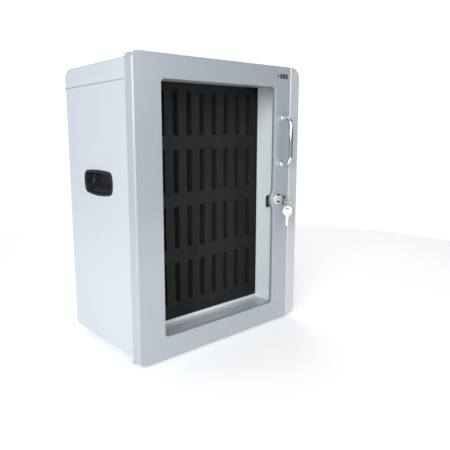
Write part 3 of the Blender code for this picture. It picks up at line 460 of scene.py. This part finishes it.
def makeFoamFinish():
    # cut closed-cell foam: pores of two sizes, long knife streaks, a dusty bloom; the pore hollows get
    # painted shade
    made, nodes, links, shader = nodeMaker("blackFoam")
    where = nodes.new("ShaderNodeTexCoord").outputs["Object"]
    cloud = noiseFrom(nodes, links, where, 7, 5, 0.65)
    streak = noiseFrom(nodes, links, where, 26, 3, 0.6, (1.0, 1.0, 0.12))
    base = mixColours(nodes, links, spread(nodes, links, cloud, 0, 1), foamLook["deep"], foamLook["top"])
    colour = mixColours(nodes, links, spread(nodes, links, streak, 0, 0.5), base, foamLook["streak"])
    pores = nodes.new("ShaderNodeTexVoronoi")
    pores.inputs["Scale"].default_value = foamLook["poreScale"]
    links.new(where, pores.inputs["Vector"])
    # pore centres darkened towards the pore colour: painted shade in the pore hollows
    poreShadowMask = spread(nodes, links, pores.outputs["Distance"], 0.12, 0, 0.0, 0.35)
    colour = mixColours(nodes, links, poreShadowMask, colour, foamLook["poreShadow"])
    links.new(colour, shader.inputs["Base Color"])
    links.new(spread(nodes, links, cloud, 0.78, 0.95), shader.inputs["Roughness"])
    shader.inputs["Specular IOR Level"].default_value = 0.15
    shader.inputs["Sheen Weight"].default_value = 0.03
    shader.inputs["Sheen Roughness"].default_value = 0.5
    coarse = noiseFrom(nodes, links, where, 60, 3)
    normal = bumped(nodes, links, shader, coarse, 0.25, 0.0012)
    bumped(nodes, links, shader, pores.outputs["Distance"], 0.10, 0.0003, normal)
    finishes["blackFoam"] = made


# an index this near to 1 leaves the pane almost no reflection
paneLook = {"clear": (0.96, 0.97, 0.975), "wiped": (0.93, 0.945, 0.955), "index": 1.01}


def makePaneFinish():
    # clear sheet with faint wipe marks; lamps shine through it without being bent
    made, nodes, links, shader = nodeMaker("clearPane")
    where = nodes.new("ShaderNodeTexCoord").outputs["Object"]
    wipe = noiseFrom(nodes, links, where, 14, 4, 0.6, (1.0, 1.0, 0.35))
    wiped = mixColours(nodes, links, spread(nodes, links, wipe, 0, 1, 0.4, 0.8),
                       paneLook["clear"], paneLook["wiped"])
    links.new(wiped, shader.inputs["Base Color"])
    shader.inputs["Roughness"].default_value = 0.0
    shader.inputs["Transmission Weight"].default_value = 1.0
    shader.inputs["IOR"].default_value = paneLook["index"]
    clear = nodes.new("ShaderNodeBsdfTransparent")
    clear.inputs["Color"].default_value = (0.97, 0.98, 0.985, 1)
    path = nodes.new("ShaderNodeLightPath")
    mix = nodes.new("ShaderNodeMixShader")
    links.new(path.outputs["Is Shadow Ray"], mix.inputs[0])
    links.new(shader.outputs[0], mix.inputs[1])
    links.new(clear.outputs[0], mix.inputs[2])
    links.new(mix.outputs[0], nodes["Material Output"].inputs["Surface"])
    finishes["clearPane"] = made


def makeBoardFinish():
    # solder mask with fine copper runs showing through
    made, nodes, links, shader = nodeMaker("circuitBoard")
    where = nodes.new("ShaderNodeTexCoord").outputs["Object"]
    runs = nodes.new("ShaderNodeTexBrick")
    runs.inputs["Scale"].default_value = 90
    runs.inputs["Mortar Size"].default_value = 0.03
    runs.inputs["Color1"].default_value = (0.012, 0.11, 0.045, 1)
    runs.inputs["Color2"].default_value = (0.015, 0.13, 0.055, 1)
    runs.inputs["Mortar"].default_value = (0.05, 0.24, 0.10, 1)
    turned = nodes.new("ShaderNodeMapping")
    turned.inputs["Rotation"].default_value = (math.pi / 2, 0, 0)
    links.new(where, turned.inputs["Vector"])
    links.new(turned.outputs["Vector"], runs.inputs["Vector"])
    links.new(runs.outputs["Color"], shader.inputs["Base Color"])
    cloud = noiseFrom(nodes, links, where, 40)
    links.new(spread(nodes, links, cloud, 0.3, 0.5), shader.inputs["Roughness"])
    bumped(nodes, links, shader, runs.outputs["Fac"], 0.3, 0.0002)
    finishes["circuitBoard"] = made


groundFacts = {"colour": (0.93, 0.93, 0.93), "shade": (0.95, 0.95, 0.95), "glow": 0.22,
               "radius": 1.5, "sides": 96}


def makeFloorFinish():
    made, nodes, links, shader = nodeMaker("paleFloor")
    where = nodes.new("ShaderNodeTexCoord").outputs["Object"]
    cloud = noiseFrom(nodes, links, where, 1.5)
    links.new(mixColours(nodes, links, cloud, groundFacts["colour"], groundFacts["shade"]),
              shader.inputs["Base Color"])
    shader.inputs["Roughness"].default_value = 0.85
    shader.inputs["Specular IOR Level"].default_value = 0.2
    shader.inputs["Emission Color"].default_value = (1, 1, 1, 1)
    shader.inputs["Emission Strength"].default_value = groundFacts["glow"]
    finishes["paleFloor"] = made


def makeFinishes():
    for name, look in looks.items():
        makeFinish(name, look)
    makeFoamFinish()
    makePaneFinish()
    makeBoardFinish()
    makeFloorFinish()


# the solids that keep their own shape
solidFinishes = {
    "casePaint": ("base_panel", "hinge_bracket_high", "hinge_bracket_low"),
    "linerPaint": ("front_frame", "liner_left", "liner_right", "liner_ceiling", "foam_sill"),
    "floorPaint": ("liner_floor",),
    "zincSteel": ("cable_plate", "power_supply_left", "power_supply_right", "hinge_leaf_high",
                  "hinge_leaf_low", "handle_screw_high", "handle_screw_low", "lock_nut", "lock_cam",
                  "floor_screw_left", "floor_screw_right",
                  "rear_screw_1", "rear_screw_2", "rear_screw_3", "rear_screw_4"),
    "circuitBoard": ("charger_strip_1", "charger_strip_2", "charger_strip_3", "charger_strip_4"),
    "blackPlastic": ("fan_frame_left", "fan_frame_right", "fan_rotor_left",
                     "fan_rotor_right", "mains_inlet", "switch_housing", "rocker_switch"),
    "paleRubber": ("window_gasket", "pane_retainer"),
    "blackRubber": ("foot_1", "foot_2", "foot_3", "foot_4"),
    "clearPane": ("window_pane",),
}


def coatSolids():
    for finish, names in solidFinishes.items():
        for name in names:
            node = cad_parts[name]
            node.data.materials.clear()
            node.data.materials.append(finishes[finish])


doorFacts = {"cornerRadius": 0.015, "closingCorner": 0.0036, "edgeRound": 0.0040, "closingRound": 0.0030,
             "wall": 0.003, "face": 0.005, "windowRound": 0.0012, "gasketReach": 0.004,
             "windowRadius": 0.009, "bossAt": 0.1899, "bossRadius": 0.0381, "lockHole": 0.0093,
             "hingeEye": 0.003, "hingeNotch": 0.0037}


def windowOutline(grow):
    low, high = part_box("window_gasket")
    reach = doorFacts["gasketReach"] - grow
    left, right, base, top = low.x + reach, high.x - reach, low.z + reach, high.z - reach
    lock = middleOf("lock_barrel")
    radius = doorFacts["bossRadius"] - grow
    half = math.acos((doorFacts["bossAt"] - right) / radius)
    corner = doorFacts["windowRadius"] + grow
    fillet = 0.006
    points = arcPoints((left + corner, base + corner), corner, math.pi, 1.5 * math.pi, 8)
    points += arcPoints((right - corner, base + corner), corner, 1.5 * math.pi, 2 * math.pi, 8)
    boss = arcPoints((doorFacts["bossAt"], lock.z), radius, math.pi + half, math.pi - half, 20)
    points += [(right, boss[0][1] - fillet)] + softened(boss, right, fillet) + [(right, boss[-1][1] + fillet)]
    points += arcPoints((right - corner, top - corner), corner, 0, math.pi / 2, 8)
    points += arcPoints((left + corner, top - corner), corner, math.pi / 2, math.pi, 8)
    return points


def softened(boss, right, fillet):
    # eases both ends of the lock boss into the straight edge of the window
    made = []
    for p, q in boss:
        away = min(abs(q - boss[0][1]), abs(q - boss[-1][1]))
        ease = min(1.0, 0.25 + 0.75 * away / fillet)
        made.append((right - (right - p) * ease, q))
    return made


def makeDoor():
    low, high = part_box("door_shell")
    wall, face = doorFacts["wall"], low.y + doorFacts["face"]
    corner, closing = doorFacts["cornerRadius"], doorFacts["closingCorner"]
    outline = roundedBox(low.x, high.x, low.z, high.z, (corner, closing, closing, corner))
    outline = withMorePoints(outline, 0.02)
    rounds = [doorFacts["closingRound"] + (doorFacts["edgeRound"] - doorFacts["closingRound"])
              * min(1.0, max(0.0, (high.x - closing - p) / 0.05)) for p, q in outline]
    rows = edgeRows(outline, "Y", low.y, 1, rounds, 7)
    rows += [placed(outline, "Y", high.y - 0.0006), placed(shrunk(outline, 0.0006), "Y", high.y)]
    inner = shrunk(outline, wall)
    rows += [placed(inner, "Y", high.y), placed(inner, "Y", face)]
    window = windowOutline(0)
    windowRows = edgeRows(window, "Y", low.y, 1, doorFacts["windowRound"], 4, hole=True)
    windowRows.append(placed(window, "Y", face))
    lock = middleOf("lock_barrel")
    hole = circlePoints((lock.x, lock.z), doorFacts["lockHole"], 48)
    holeRows = [placed(hole, "Y", low.y), placed(hole, "Y", face)]
    door = solidFrom("doorShell", [rows, windowRows, holeRows])
    leafLow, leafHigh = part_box("hinge_leaf_high")
    pin = (leafLow.x + doorFacts["hingeEye"], leafHigh.y - doorFacts["hingeEye"])
    notch = circlePoints((pin[0], pin[1]), doorFacts["hingeNotch"], 24)
    cutters = []
    for start, end in ((high.z - 0.008, high.z - wall), (low.z + wall, low.z + 0.0102)):
        cutters.append(solidFrom("notch", [[placed(notch, "Z", start), placed(notch, "Z", end)]]))
    cutAway(door, *cutters)
    settle(door, finishes["silverPaint"], "door", "silver_paint", "door_shell")


postFacts = {"cornerRadius": 0.025, "closingCorner": 0.0036, "edgeRound": 0.0040, "closingRound": 0.0030,
             "wall": 0.003}


def makePost():
    low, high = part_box("front_post")
    corner, closing, wall = postFacts["cornerRadius"], postFacts["closingCorner"], postFacts["wall"]
    outline = roundedBox(low.x, high.x, low.z, high.z, (closing, corner, corner, closing), 12)
    outline = withMorePoints(outline, 0.02)
    rounds = [postFacts["closingRound"] + (postFacts["edgeRound"] - postFacts["closingRound"])
              * min(1.0, max(0.0, (p - low.x - closing) / 0.01)) for p, q in outline]
    rows = edgeRows(outline, "Y", low.y, 1, rounds, 7)
    rows.append(placed(outline, "Y", high.y))
    inner = shrunk(outline, wall)
    rows += [placed(inner, "Y", high.y), placed(inner, "Y", low.y + 0.004)]
    post = solidFrom("frontPost", [rows])
    settle(post, finishes["postPaint"], "root", "post_paint", "front_post")


skinFacts = {"frontRound": 0.0030, "seamRound": 0.0007, "rimRound": 0.0060, "wall": 0.003, "coverRear": 0.020}


def rimRounds(points, front, seam):
    # small rounding at the seam, a little more in front, well rounded elsewhere
    made = []
    for p, q in points:
        fromFront, fromSeam = abs(p - front), abs(q - seam)
        made.append(min(skinFacts["rimRound"], skinFacts["frontRound"] + fromFront * 0.4,
                        skinFacts["seamRound"] + fromSeam * 0.7))
    return made


def makeSidePanels():
    for name, node, side in (("sidePanelLeft", "left_side_panel", -1),
                             ("sidePanelRight", "right_side_panel", 1)):
        low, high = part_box(node)
        outer, inner = (low.x, high.x) if side < 0 else (high.x, low.x)
        rim = skinFacts["rimRound"]
        outline = roundedBox(low.y, high.y, low.z, high.z, (0.001, rim, 0.0008, 0.0008))
        outline = withMorePoints(outline, 0.006)
        rows = edgeRows(outline, "X", outer, -side, rimRounds(outline, low.y, high.z), 6)
        rows.append(placed(outline, "X", inner))
        panel = solidFrom(name, [rows])
        wall = skinFacts["wall"]
        pocket = roundedBox(low.y - 0.01, high.y - wall, low.z + wall, high.z + 0.01,
                            (0.001, 0.003, 0.001, 0.001), 4)
        pocketRows = [placed(pocket, "X", outer - side * wall), placed(pocket, "X", inner - side * 0.02)]
        mouth = gripOutline(node, 0.0005)
        mouthRows = [placed(mouth, "X", outer + side * 0.01), placed(mouth, "X", outer - side * 0.01)]
        cutAway(panel, solidFrom("pocket", [pocketRows]), solidFrom("mouth", [mouthRows]))
        settle(panel, finishes["casePaint"], "root", "case_plastic", node)


def makeCover():
    low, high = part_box("top_cover")
    rear, wall = skinFacts["coverRear"], skinFacts["wall"]
    outline = roundedBox(low.y, high.y, low.z, high.z, (0.0008, 0.0008, rear, 0.0010), 12)
    outline = withMorePoints(outline, 0.006)
    rounds = rimRounds(outline, low.y, low.z)
    rows = edgeRows(outline, "X", low.x, 1, rounds, 6)
    rows += list(reversed(edgeRows(outline, "X", high.x, -1, rounds, 6)))
    cover = solidFrom("topCover", [rows])
    pocket = roundedBox(low.y - 0.01, high.y - wall, low.z - 0.01, high.z - wall,
                        (0.001, 0.001, rear - wall, 0.001), 12)
    pocketRows = [placed(pocket, "X", low.x + wall), placed(pocket, "X", high.x - wall)]
    cutAway(cover, solidFrom("pocket", [pocketRows]))
    settle(cover, finishes["casePaint"], "root", "case_plastic", "top_cover")


gripFacts = {"bowEnd": 0.0050, "bowTop": 0.0030, "bowLow": 0.0055, "corner": 0.0045, "rim": 0.0035,
             "crown": 0.0015, "depth": 0.0215, "rampFrom": -0.95, "rampTo": 0.05}


def gripOutline(node, grow, steps=5):
    # rounded oblong in the side's plane whose four sides bow out
    grip = "left_grip" if node.startswith("left") else "right_grip"
    low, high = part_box(grip)
    bowEnd, bowTop, bowLow = gripFacts["bowEnd"], gripFacts["bowTop"], gripFacts["bowLow"]
    rim = gripFacts["rim"]
    middleP = (low.y + high.y) / 2
    middleQ = (low.z + high.z - bowTop + bowLow) / 2
    halfP = (high.y - low.y) / 2 - bowEnd - rim
    halfQ = (high.z - low.z - bowTop - bowLow) / 2 - rim
    halfP, halfQ = halfP + grow, halfQ + grow
    corners = roundedBox(-halfP, halfP, -halfQ, halfQ, (max(gripFacts["corner"] + grow, 0.0012),) * 4, steps)
    points = withMorePoints(corners, 0.005)
    made = []
    for p, q in points:
        bow = bowTop if q > 0 else bowLow
        alongP, alongQ = 1 - (p / halfP) ** 2, 1 - (q / halfQ) ** 2
        outP = p + math.copysign(bowEnd, p) * alongQ * abs(p) / halfP
        outQ = q + math.copysign(bow, q) * alongP * abs(q) / halfQ
        made.append((middleP + outP, middleQ + outQ))
    return made


def makeGrips():
    # a flanged cup: steep walls, a ramp that leads the fingers up into a deeper pocket
    for name, node, side in (("gripLeft", "left_grip", -1), ("gripRight", "right_grip", 1)):
        low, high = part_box(node)
        face = low.x if side < 0 else high.x
        seat = face - side * gripFacts["crown"]
        outer = gripOutline(node, gripFacts["rim"])
        center = Vector((sum(p for p, q in outer) / len(outer), sum(q for p, q in outer) / len(outer)))
        rows = [placed(gripOutline(node, 0.0), "X", seat), placed(outer, "X", seat)]
        for inset, lift in ((0.0002, 0.0006), (0.0008, 0.0012), (0.0016, 0.0015), (0.0032, 0.0015),
                            (0.0040, 0.0012), (0.0046, 0.0004), (0.0050, -0.0006)):
            rows.append(placed(shrunk(outer, inset), "X", seat + side * lift))
        mouth = shrunk(outer, 0.0054)
        deep = gripFacts["depth"]
        halfQ = (max(q for p, q in mouth) - min(q for p, q in mouth)) / 2
        for share, fall in ((1.0, 0.10), (0.985, 0.30), (0.97, 0.55), (0.95, 0.78), (0.91, 0.92),
                            (0.84, 0.985), (0.72, 1.0), (0.50, 1.0), (0.25, 1.0)):
            row, values = [], []
            for p, q in mouth:
                spot = center + (Vector((p, q)) - center) * share
                height = (spot.y - center.y) / halfQ
                ramp = min(1.0, max(0.0, (height - gripFacts["rampFrom"])
                                    / (gripFacts["rampTo"] - gripFacts["rampFrom"])))
                ramp = 0.28 + 0.72 * ramp * ramp * (3 - 2 * ramp)
                row.append((spot.x, spot.y))
                values.append(seat - side * deep * fall * ramp)
            rows.append(placed(row, "X", values))
        shape = bmesh.new()
        addChains(shape, [rows], caps=(False, True))
        cup = plainObject(name, shape, 50)
        thick = cup.modifiers.new("shell", "SOLIDIFY")
        thick.thickness, thick.offset = 0.0012, 0.0
        settle(cup, finishes["blackPlastic"], "root", "black_plastic", node)


foamFacts = {"columns": 10, "rows": 4, "pitch": 0.04035, "slotWidth": 0.015, "slotHeight": 0.1035,
             "rowPitch": 0.1360, "topMargin": 0.0183, "slotCorner": 0.0030, "edgeRound": 0.0011,
             "wobble": 0.00022, "seed": 5}


def makeFoam():
    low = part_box(f"foam_row_{foamFacts['rows']}")[0]
    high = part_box("foam_row_1")[1]
    chance = random.Random(foamFacts["seed"])
    outline = withMorePoints(roundedBox(low.x, high.x, low.z, high.z, (0.001,) * 4, 3), 0.02)
    rows = edgeRows(outline, "Y", low.y, 1, 0.0008, 3)
    rows += list(reversed(edgeRows(outline, "Y", high.y, -1, 0.0008, 3)))
    chains = [rows]
    for row in range(foamFacts["rows"]):
        top = high.z - foamFacts["topMargin"] - row * foamFacts["rowPitch"]
        for column in range(foamFacts["columns"]):
            middle = (column - (foamFacts["columns"] - 1) / 2) * foamFacts["pitch"]
            half = foamFacts["slotWidth"] / 2
            slot = roundedBox(middle - half, middle + half, top - foamFacts["slotHeight"], top,
                              (foamFacts["slotCorner"],) * 4, 5)
            slot = withMorePoints(slot, 0.009)
            wobble = foamFacts["wobble"]
            slot = [(p + chance.uniform(-wobble, wobble), q + chance.uniform(-wobble, wobble))
                    for p, q in slot]
            slotRows = edgeRows(slot, "Y", low.y, 1, foamFacts["edgeRound"], 4, hole=True)
            slotRows += list(reversed(edgeRows(slot, "Y", high.y, -1, 0.0006, 2, hole=True)))
            chains.append(slotRows)
    rack = solidFrom("foamRack", chains, smooth=40)
    settle(rack, finishes["blackFoam"], "root", "black_foam",
           "foam_row_1", "foam_row_2", "foam_row_3", "foam_row_4")


handleFacts = {"barRadius": 0.0050, "bend": 0.020, "footRadius": 0.0068, "footDepth": 0.0022}


def makeHandle():
    low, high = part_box("pull_handle")
    middle = (low + high) / 2
    bar, bend, foot = handleFacts["barRadius"], handleFacts["bend"], handleFacts["footRadius"]
    top, base = high.z - foot, low.z + foot
    face, reach = high.y, low.y + bar
    footEnd = face - handleFacts["footDepth"]
    profile = [(face, foot - 0.0003), (face - 0.0003, foot), (footEnd + 0.0005, foot),
               (footEnd, foot - 0.0005), (footEnd - 0.0003, bar + 0.0006),
               (face - 0.0035, bar + 0.0001), (face - 0.0045, bar)]
    path = [(y, top) for y, radius in profile]
    radii = [radius for y, radius in profile]
    bends = arcPoints((reach + bend, top - bend), bend, math.pi / 2, math.pi, 14)
    bends += arcPoints((reach + bend, base + bend), bend, math.pi, 1.5 * math.pi, 14)
    path += bends + [(y, base) for y, radius in reversed(profile)]
    radii += [bar] * len(bends) + list(reversed(radii))
    handle = barAlong("pullHandle", [(middle.x, y, z) for y, z in path], radii, 40)
    settle(handle, finishes["chromePlate"], "door", "chrome", "pull_handle")


lockFacts = {"flangeRadius": 0.0135, "barrelRadius": 0.0090, "bore": 0.0063, "plugRadius": 0.0060,
             "lift": 0.0033, "keySlot": (0.00115, 0.0045)}


def makeLock():
    low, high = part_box("lock_barrel")
    middle = (low + high) / 2
    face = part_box("door_shell")[0].y - 0.0003
    out, bore, flange = low.y, lockFacts["bore"], lockFacts["flangeRadius"]
    profile = [(bore, high.y), (bore, out + 0.0011), (bore + 0.0004, out + 0.0005),
               (bore + 0.0012, out + 0.0002)]
    profile += [(flange - 0.0040, out), (flange - 0.0028, out + 0.0001), (flange - 0.0018, out + 0.0005)]
    profile += [(flange - 0.0008, out + 0.0013), (flange - 0.0002, out + 0.0021), (flange, out + 0.0028),
                (flange - 0.0001, face - 0.0001), (flange - 0.0003, face), (lockFacts["barrelRadius"], face),
                (lockFacts["barrelRadius"], high.y)]
    barrel = spun("lockBarrel", profile, middle, "Y", 72)
    settle(barrel, finishes["chromePlate"], "door", "chrome", "lock_barrel")
    low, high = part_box("lock_plug")
    radius = lockFacts["plugRadius"]
    profile = [(radius, high.y), (radius, low.y + 0.0004), (radius - 0.0004, low.y), (radius - 0.0012, low.y),
               (radius - 0.0016, low.y + 0.0004), (0.00002, low.y + 0.0004), (0.00002, high.y)]
    plug = spun("lockPlug", profile, (low + high) / 2, "Y", 64)
    half, tall = lockFacts["keySlot"]
    slot = roundedBox(middle.x - half, middle.x + half, middle.z - tall, middle.z + tall, (0.0006,) * 4, 3)
    cutAway(plug, solidFrom("slot", [[placed(slot, "Y", low.y - 0.01), placed(slot, "Y", low.y + 0.0235)]]))
    settle(plug, finishes["chromePlate"], "lock", "chrome", "lock_plug")


keyFacts = {"bow": 0.0125, "bowAt": -0.0185, "thick": 0.0018, "eye": 0.0036, "eyeAt": -0.0260,
            "tip": 0.0190, "half": 0.0041, "round": 0.00035, "rimWidth": 0.0016, "rimLift": 0.00022}


def keyShape(name):
    # lies in the YZ plane, tip towards +Y, the door's face at y = 0
    half, tip, bow, bowAt = keyFacts["half"], keyFacts["tip"], keyFacts["bow"], keyFacts["bowAt"]
    meet = math.asin(half / bow)
    points = arcPoints((bowAt, 0), bow, meet + 0.10, 2 * math.pi - meet - 0.10, 60)
    cuts = ((-0.0060, 0), (-0.0030, 0), (-0.0026, -0.0006), (0.0005, -0.0006),
            (0.0022, -0.0018), (0.0038, -0.0006),
            (0.0055, -0.0022), (0.0072, -0.0012), (0.0088, -0.0004), (0.0108, -0.0024), (0.0124, -0.0010),
            (0.0142, -0.0002), (0.0162, -0.0014), (0.0176, -0.0012))
    points += [(y, -half - depth) for y, depth in cuts]
    points += [(tip, -half + 0.0032), (tip, half - 0.0026), (tip - 0.0026, half),
               (-0.0030, half), (-0.0060, half)]
    thick = keyFacts["thick"] / 2
    rows = edgeRows(points, "X", -thick, 1, keyFacts["round"], 3, support=0.0001)
    rows += list(reversed(edgeRows(points, "X", thick, -1, keyFacts["round"], 3, support=0.0001)))
    eye = circlePoints((keyFacts["eyeAt"], 0), keyFacts["eye"], 32)
    eyeRows = edgeRows(eye, "X", -thick, 1, keyFacts["round"], 3, hole=True, support=0.0001)
    eyeRows += list(reversed(edgeRows(eye, "X", thick, -1, keyFacts["round"], 3, hole=True, support=0.0001)))
    parts = [solidFrom(name, [rows, eyeRows])]
    for side in (-1, 1):
        # raised rim round the bow and a shallow groove along the blade
        wide = bow - keyFacts["round"]
        lift = thick + keyFacts["rimLift"]
        rim = [(wide, thick - 0.0002), (wide - 0.0001, lift - 0.00008), (wide - 0.0003, lift),
               (wide - keyFacts["rimWidth"], lift), (wide - keyFacts["rimWidth"] - 0.0003, thick - 0.0002)]
        rimRows = [placed(circlePoints((bowAt, 0), radius, 56), "X", side * place) for radius, place in rim]
        parts.append(solidFrom(name + "Rim", [rimRows], ring=True))
    return joined(name, *parts)


ringFacts = {"radius": 0.011, "wire": 0.00060, "apart": 0.00058, "turns": 1.92, "spareTurn": 30}


def makeKeys():
    lock = middleOf("lock_barrel")
    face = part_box("door_shell")[0].y
    key = keyShape("lockKey")
    key.data.transform(Matrix.Translation((lock.x, face, lock.z)))
    settle(key, finishes["nickelPlate"], "lock", "nickel", "lock_key")
    ring = middleOf("key_ring")
    steps = 150
    path = []
    for step in range(steps + 1):
        share = step / steps
        angle = 2 * math.pi * ringFacts["turns"] * share - math.pi / 2
        shift = (share - 0.5) * 2 * ringFacts["apart"]
        path.append((ring.x + ringFacts["radius"] * math.cos(angle), ring.y + shift,
                     ring.z + ringFacts["radius"] * math.sin(angle)))
    wire = barAlong("keyRing", path, ringFacts["wire"], 12)
    settle(wire, finishes["nickelPlate"], "keys", "nickel", "key_ring")
    spare = keyShape("spareKey")
    low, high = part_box("spare_key")
    eyeZ = high.z - keyFacts["bow"] + (keyFacts["bowAt"] - keyFacts["eyeAt"])
    hang = Matrix.Rotation(-math.pi / 2, 4, "X")
    turn = Matrix.Rotation(math.radians(ringFacts["spareTurn"]), 4, "Z")
    toEye = Matrix.Translation((0, -keyFacts["eyeAt"], 0))
    place = Matrix.Translation((ring.x, ring.y, eyeZ)) @ turn @ hang @ toEye
    spare.data.transform(place)
    settle(spare, finishes["nickelPlate"], "keys", "nickel", "spare_key")
    newLow = min(v.co.z for v in spare.data.vertices)
    print("spare key lowest point", round(newLow * 1000, 2), "mm, solid", round(low.z * 1000, 2), "mm")


signFacts = {"ringAt": (0.1625, 0.6215), "ringRadius": 0.0140, "ringWide": 0.0016, "lift": 0.00015,
             "ringFrom": 100, "ringTo": 260, "markLow": 0.6145, "markHigh": 0.6290}


def flatSign(name, outlines, finish, slot):
    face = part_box("door_shell")[0].y
    chains = [[placed(points, "Y", face - signFacts["lift"]), placed(points, "Y", face + 0.0002)]
              for points in outlines]
    sign = solidFrom(name, chains)
    settle(sign, finish, "door", slot)


def makeSign():
    # a generic pictogram: part of a ring, a spark, and three charge bars beside it
    x, z = signFacts["ringAt"]
    start, end = math.radians(signFacts["ringFrom"]), math.radians(signFacts["ringTo"])
    outer = arcPoints((x, z), signFacts["ringRadius"], start, end, 28)
    inner = arcPoints((x, z), signFacts["ringRadius"] - signFacts["ringWide"], end, start, 28)
    flatSign("signRing", [outer + inner], finishes["decalBlue"], "circuit_board")
    low, high = signFacts["markLow"], signFacts["markHigh"]
    middle, tall = (low + high) / 2, (high - low) / 2
    spark = [(0.0022, 1.0), (-0.0034, -0.15), (-0.0004, -0.15),
             (-0.0020, -1.0), (0.0036, 0.18), (0.0006, 0.18)]
    flatSign("signSpark", [[(x + 0.0045 + p, middle + q * tall) for p, q in spark]],
             finishes["decalDark"], "black_plastic")
    for number in range(3):
        left = x + 0.0122 + number * 0.0098
        bar = roundedBox(left, left + 0.0076, low + 0.0015, high - 0.0015, (0.0012,) * 4, 4)
        flatSign(f"signBar{number + 1}", [bar], finishes["decalDark"], "black_plastic")


rearFacts = {"slotCount": 7, "slotPitch": 0.009, "slotHeight": 0.006, "slotHalf": 0.030,
             "inletHalf": (0.0143, 0.0138), "switchHalf": (0.0098, 0.0138), "screwHole": 0.0020}


def makeRearPanel():
    low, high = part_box("rear_panel")
    outline = roundedBox(low.x, high.x, low.z, high.z, (0.0015,) * 4, 4)
    rows = edgeRows(outline, "Y", high.y, -1, 0.0006, 3)
    rows += list(reversed(edgeRows(outline, "Y", low.y, 1, 0.0006, 3)))
    chains = [rows]
    holes = []
    for fan in ("fan_frame_left", "fan_frame_right"):
        middle = middleOf(fan)
        for step in range(rearFacts["slotCount"]):
            z = middle.z + (step - (rearFacts["slotCount"] - 1) / 2) * rearFacts["slotPitch"]
            half, tall = rearFacts["slotHalf"], rearFacts["slotHeight"] / 2
            holes.append(roundedBox(middle.x - half, middle.x + half, z - tall, z + tall,
                                    (tall - 0.0002,) * 4, 6))
    for node, (half, tall) in (("mains_inlet", rearFacts["inletHalf"]),
                               ("switch_housing", rearFacts["switchHalf"])):
        middle = middleOf(node)
        holes.append(roundedBox(middle.x - half, middle.x + half, middle.z - tall, middle.z + tall,
                                (0.001,) * 4, 3))
    for number in range(1, 5):
        middle = middleOf(f"rear_screw_{number}")
        holes.append(circlePoints((middle.x, middle.z), rearFacts["screwHole"], 20))
    for points in holes:
        holeRows = edgeRows(points, "Y", high.y, -1, 0.0005, 2, hole=True, support=0.0002)
        chains.append(holeRows + [placed(points, "Y", low.y)])
    panel = solidFrom("rearPanel", chains)
    settle(panel, finishes["casePaint"], "root", "case_plastic", "rear_panel")


def makeFloor():
    # a wide pale disc; its far edge shows faintly against the background
    shape = bmesh.new()
    bmesh.ops.create_circle(shape, cap_ends=True, segments=groundFacts["sides"],
                             radius=groundFacts["radius"])
    floor = plainObject("floor", shape)
    floor.data.materials.append(finishes["paleFloor"])


makeCamera()
makeRoom()
makeLights()
print("phone locker: camera and light set")
makeFinishes()
coatSolids()
print("phone locker:", len(finishes), "finishes made")
makeDoor()
makePost()
makeSidePanels()
makeCover()
makeGrips()
print("phone locker: door, post and skin made")
makeFoam()
print("phone locker: foam rack made")
makeHandle()
makeLock()
makeKeys()
makeSign()
makeRearPanel()
makeFloor()
print("phone locker: fittings made")
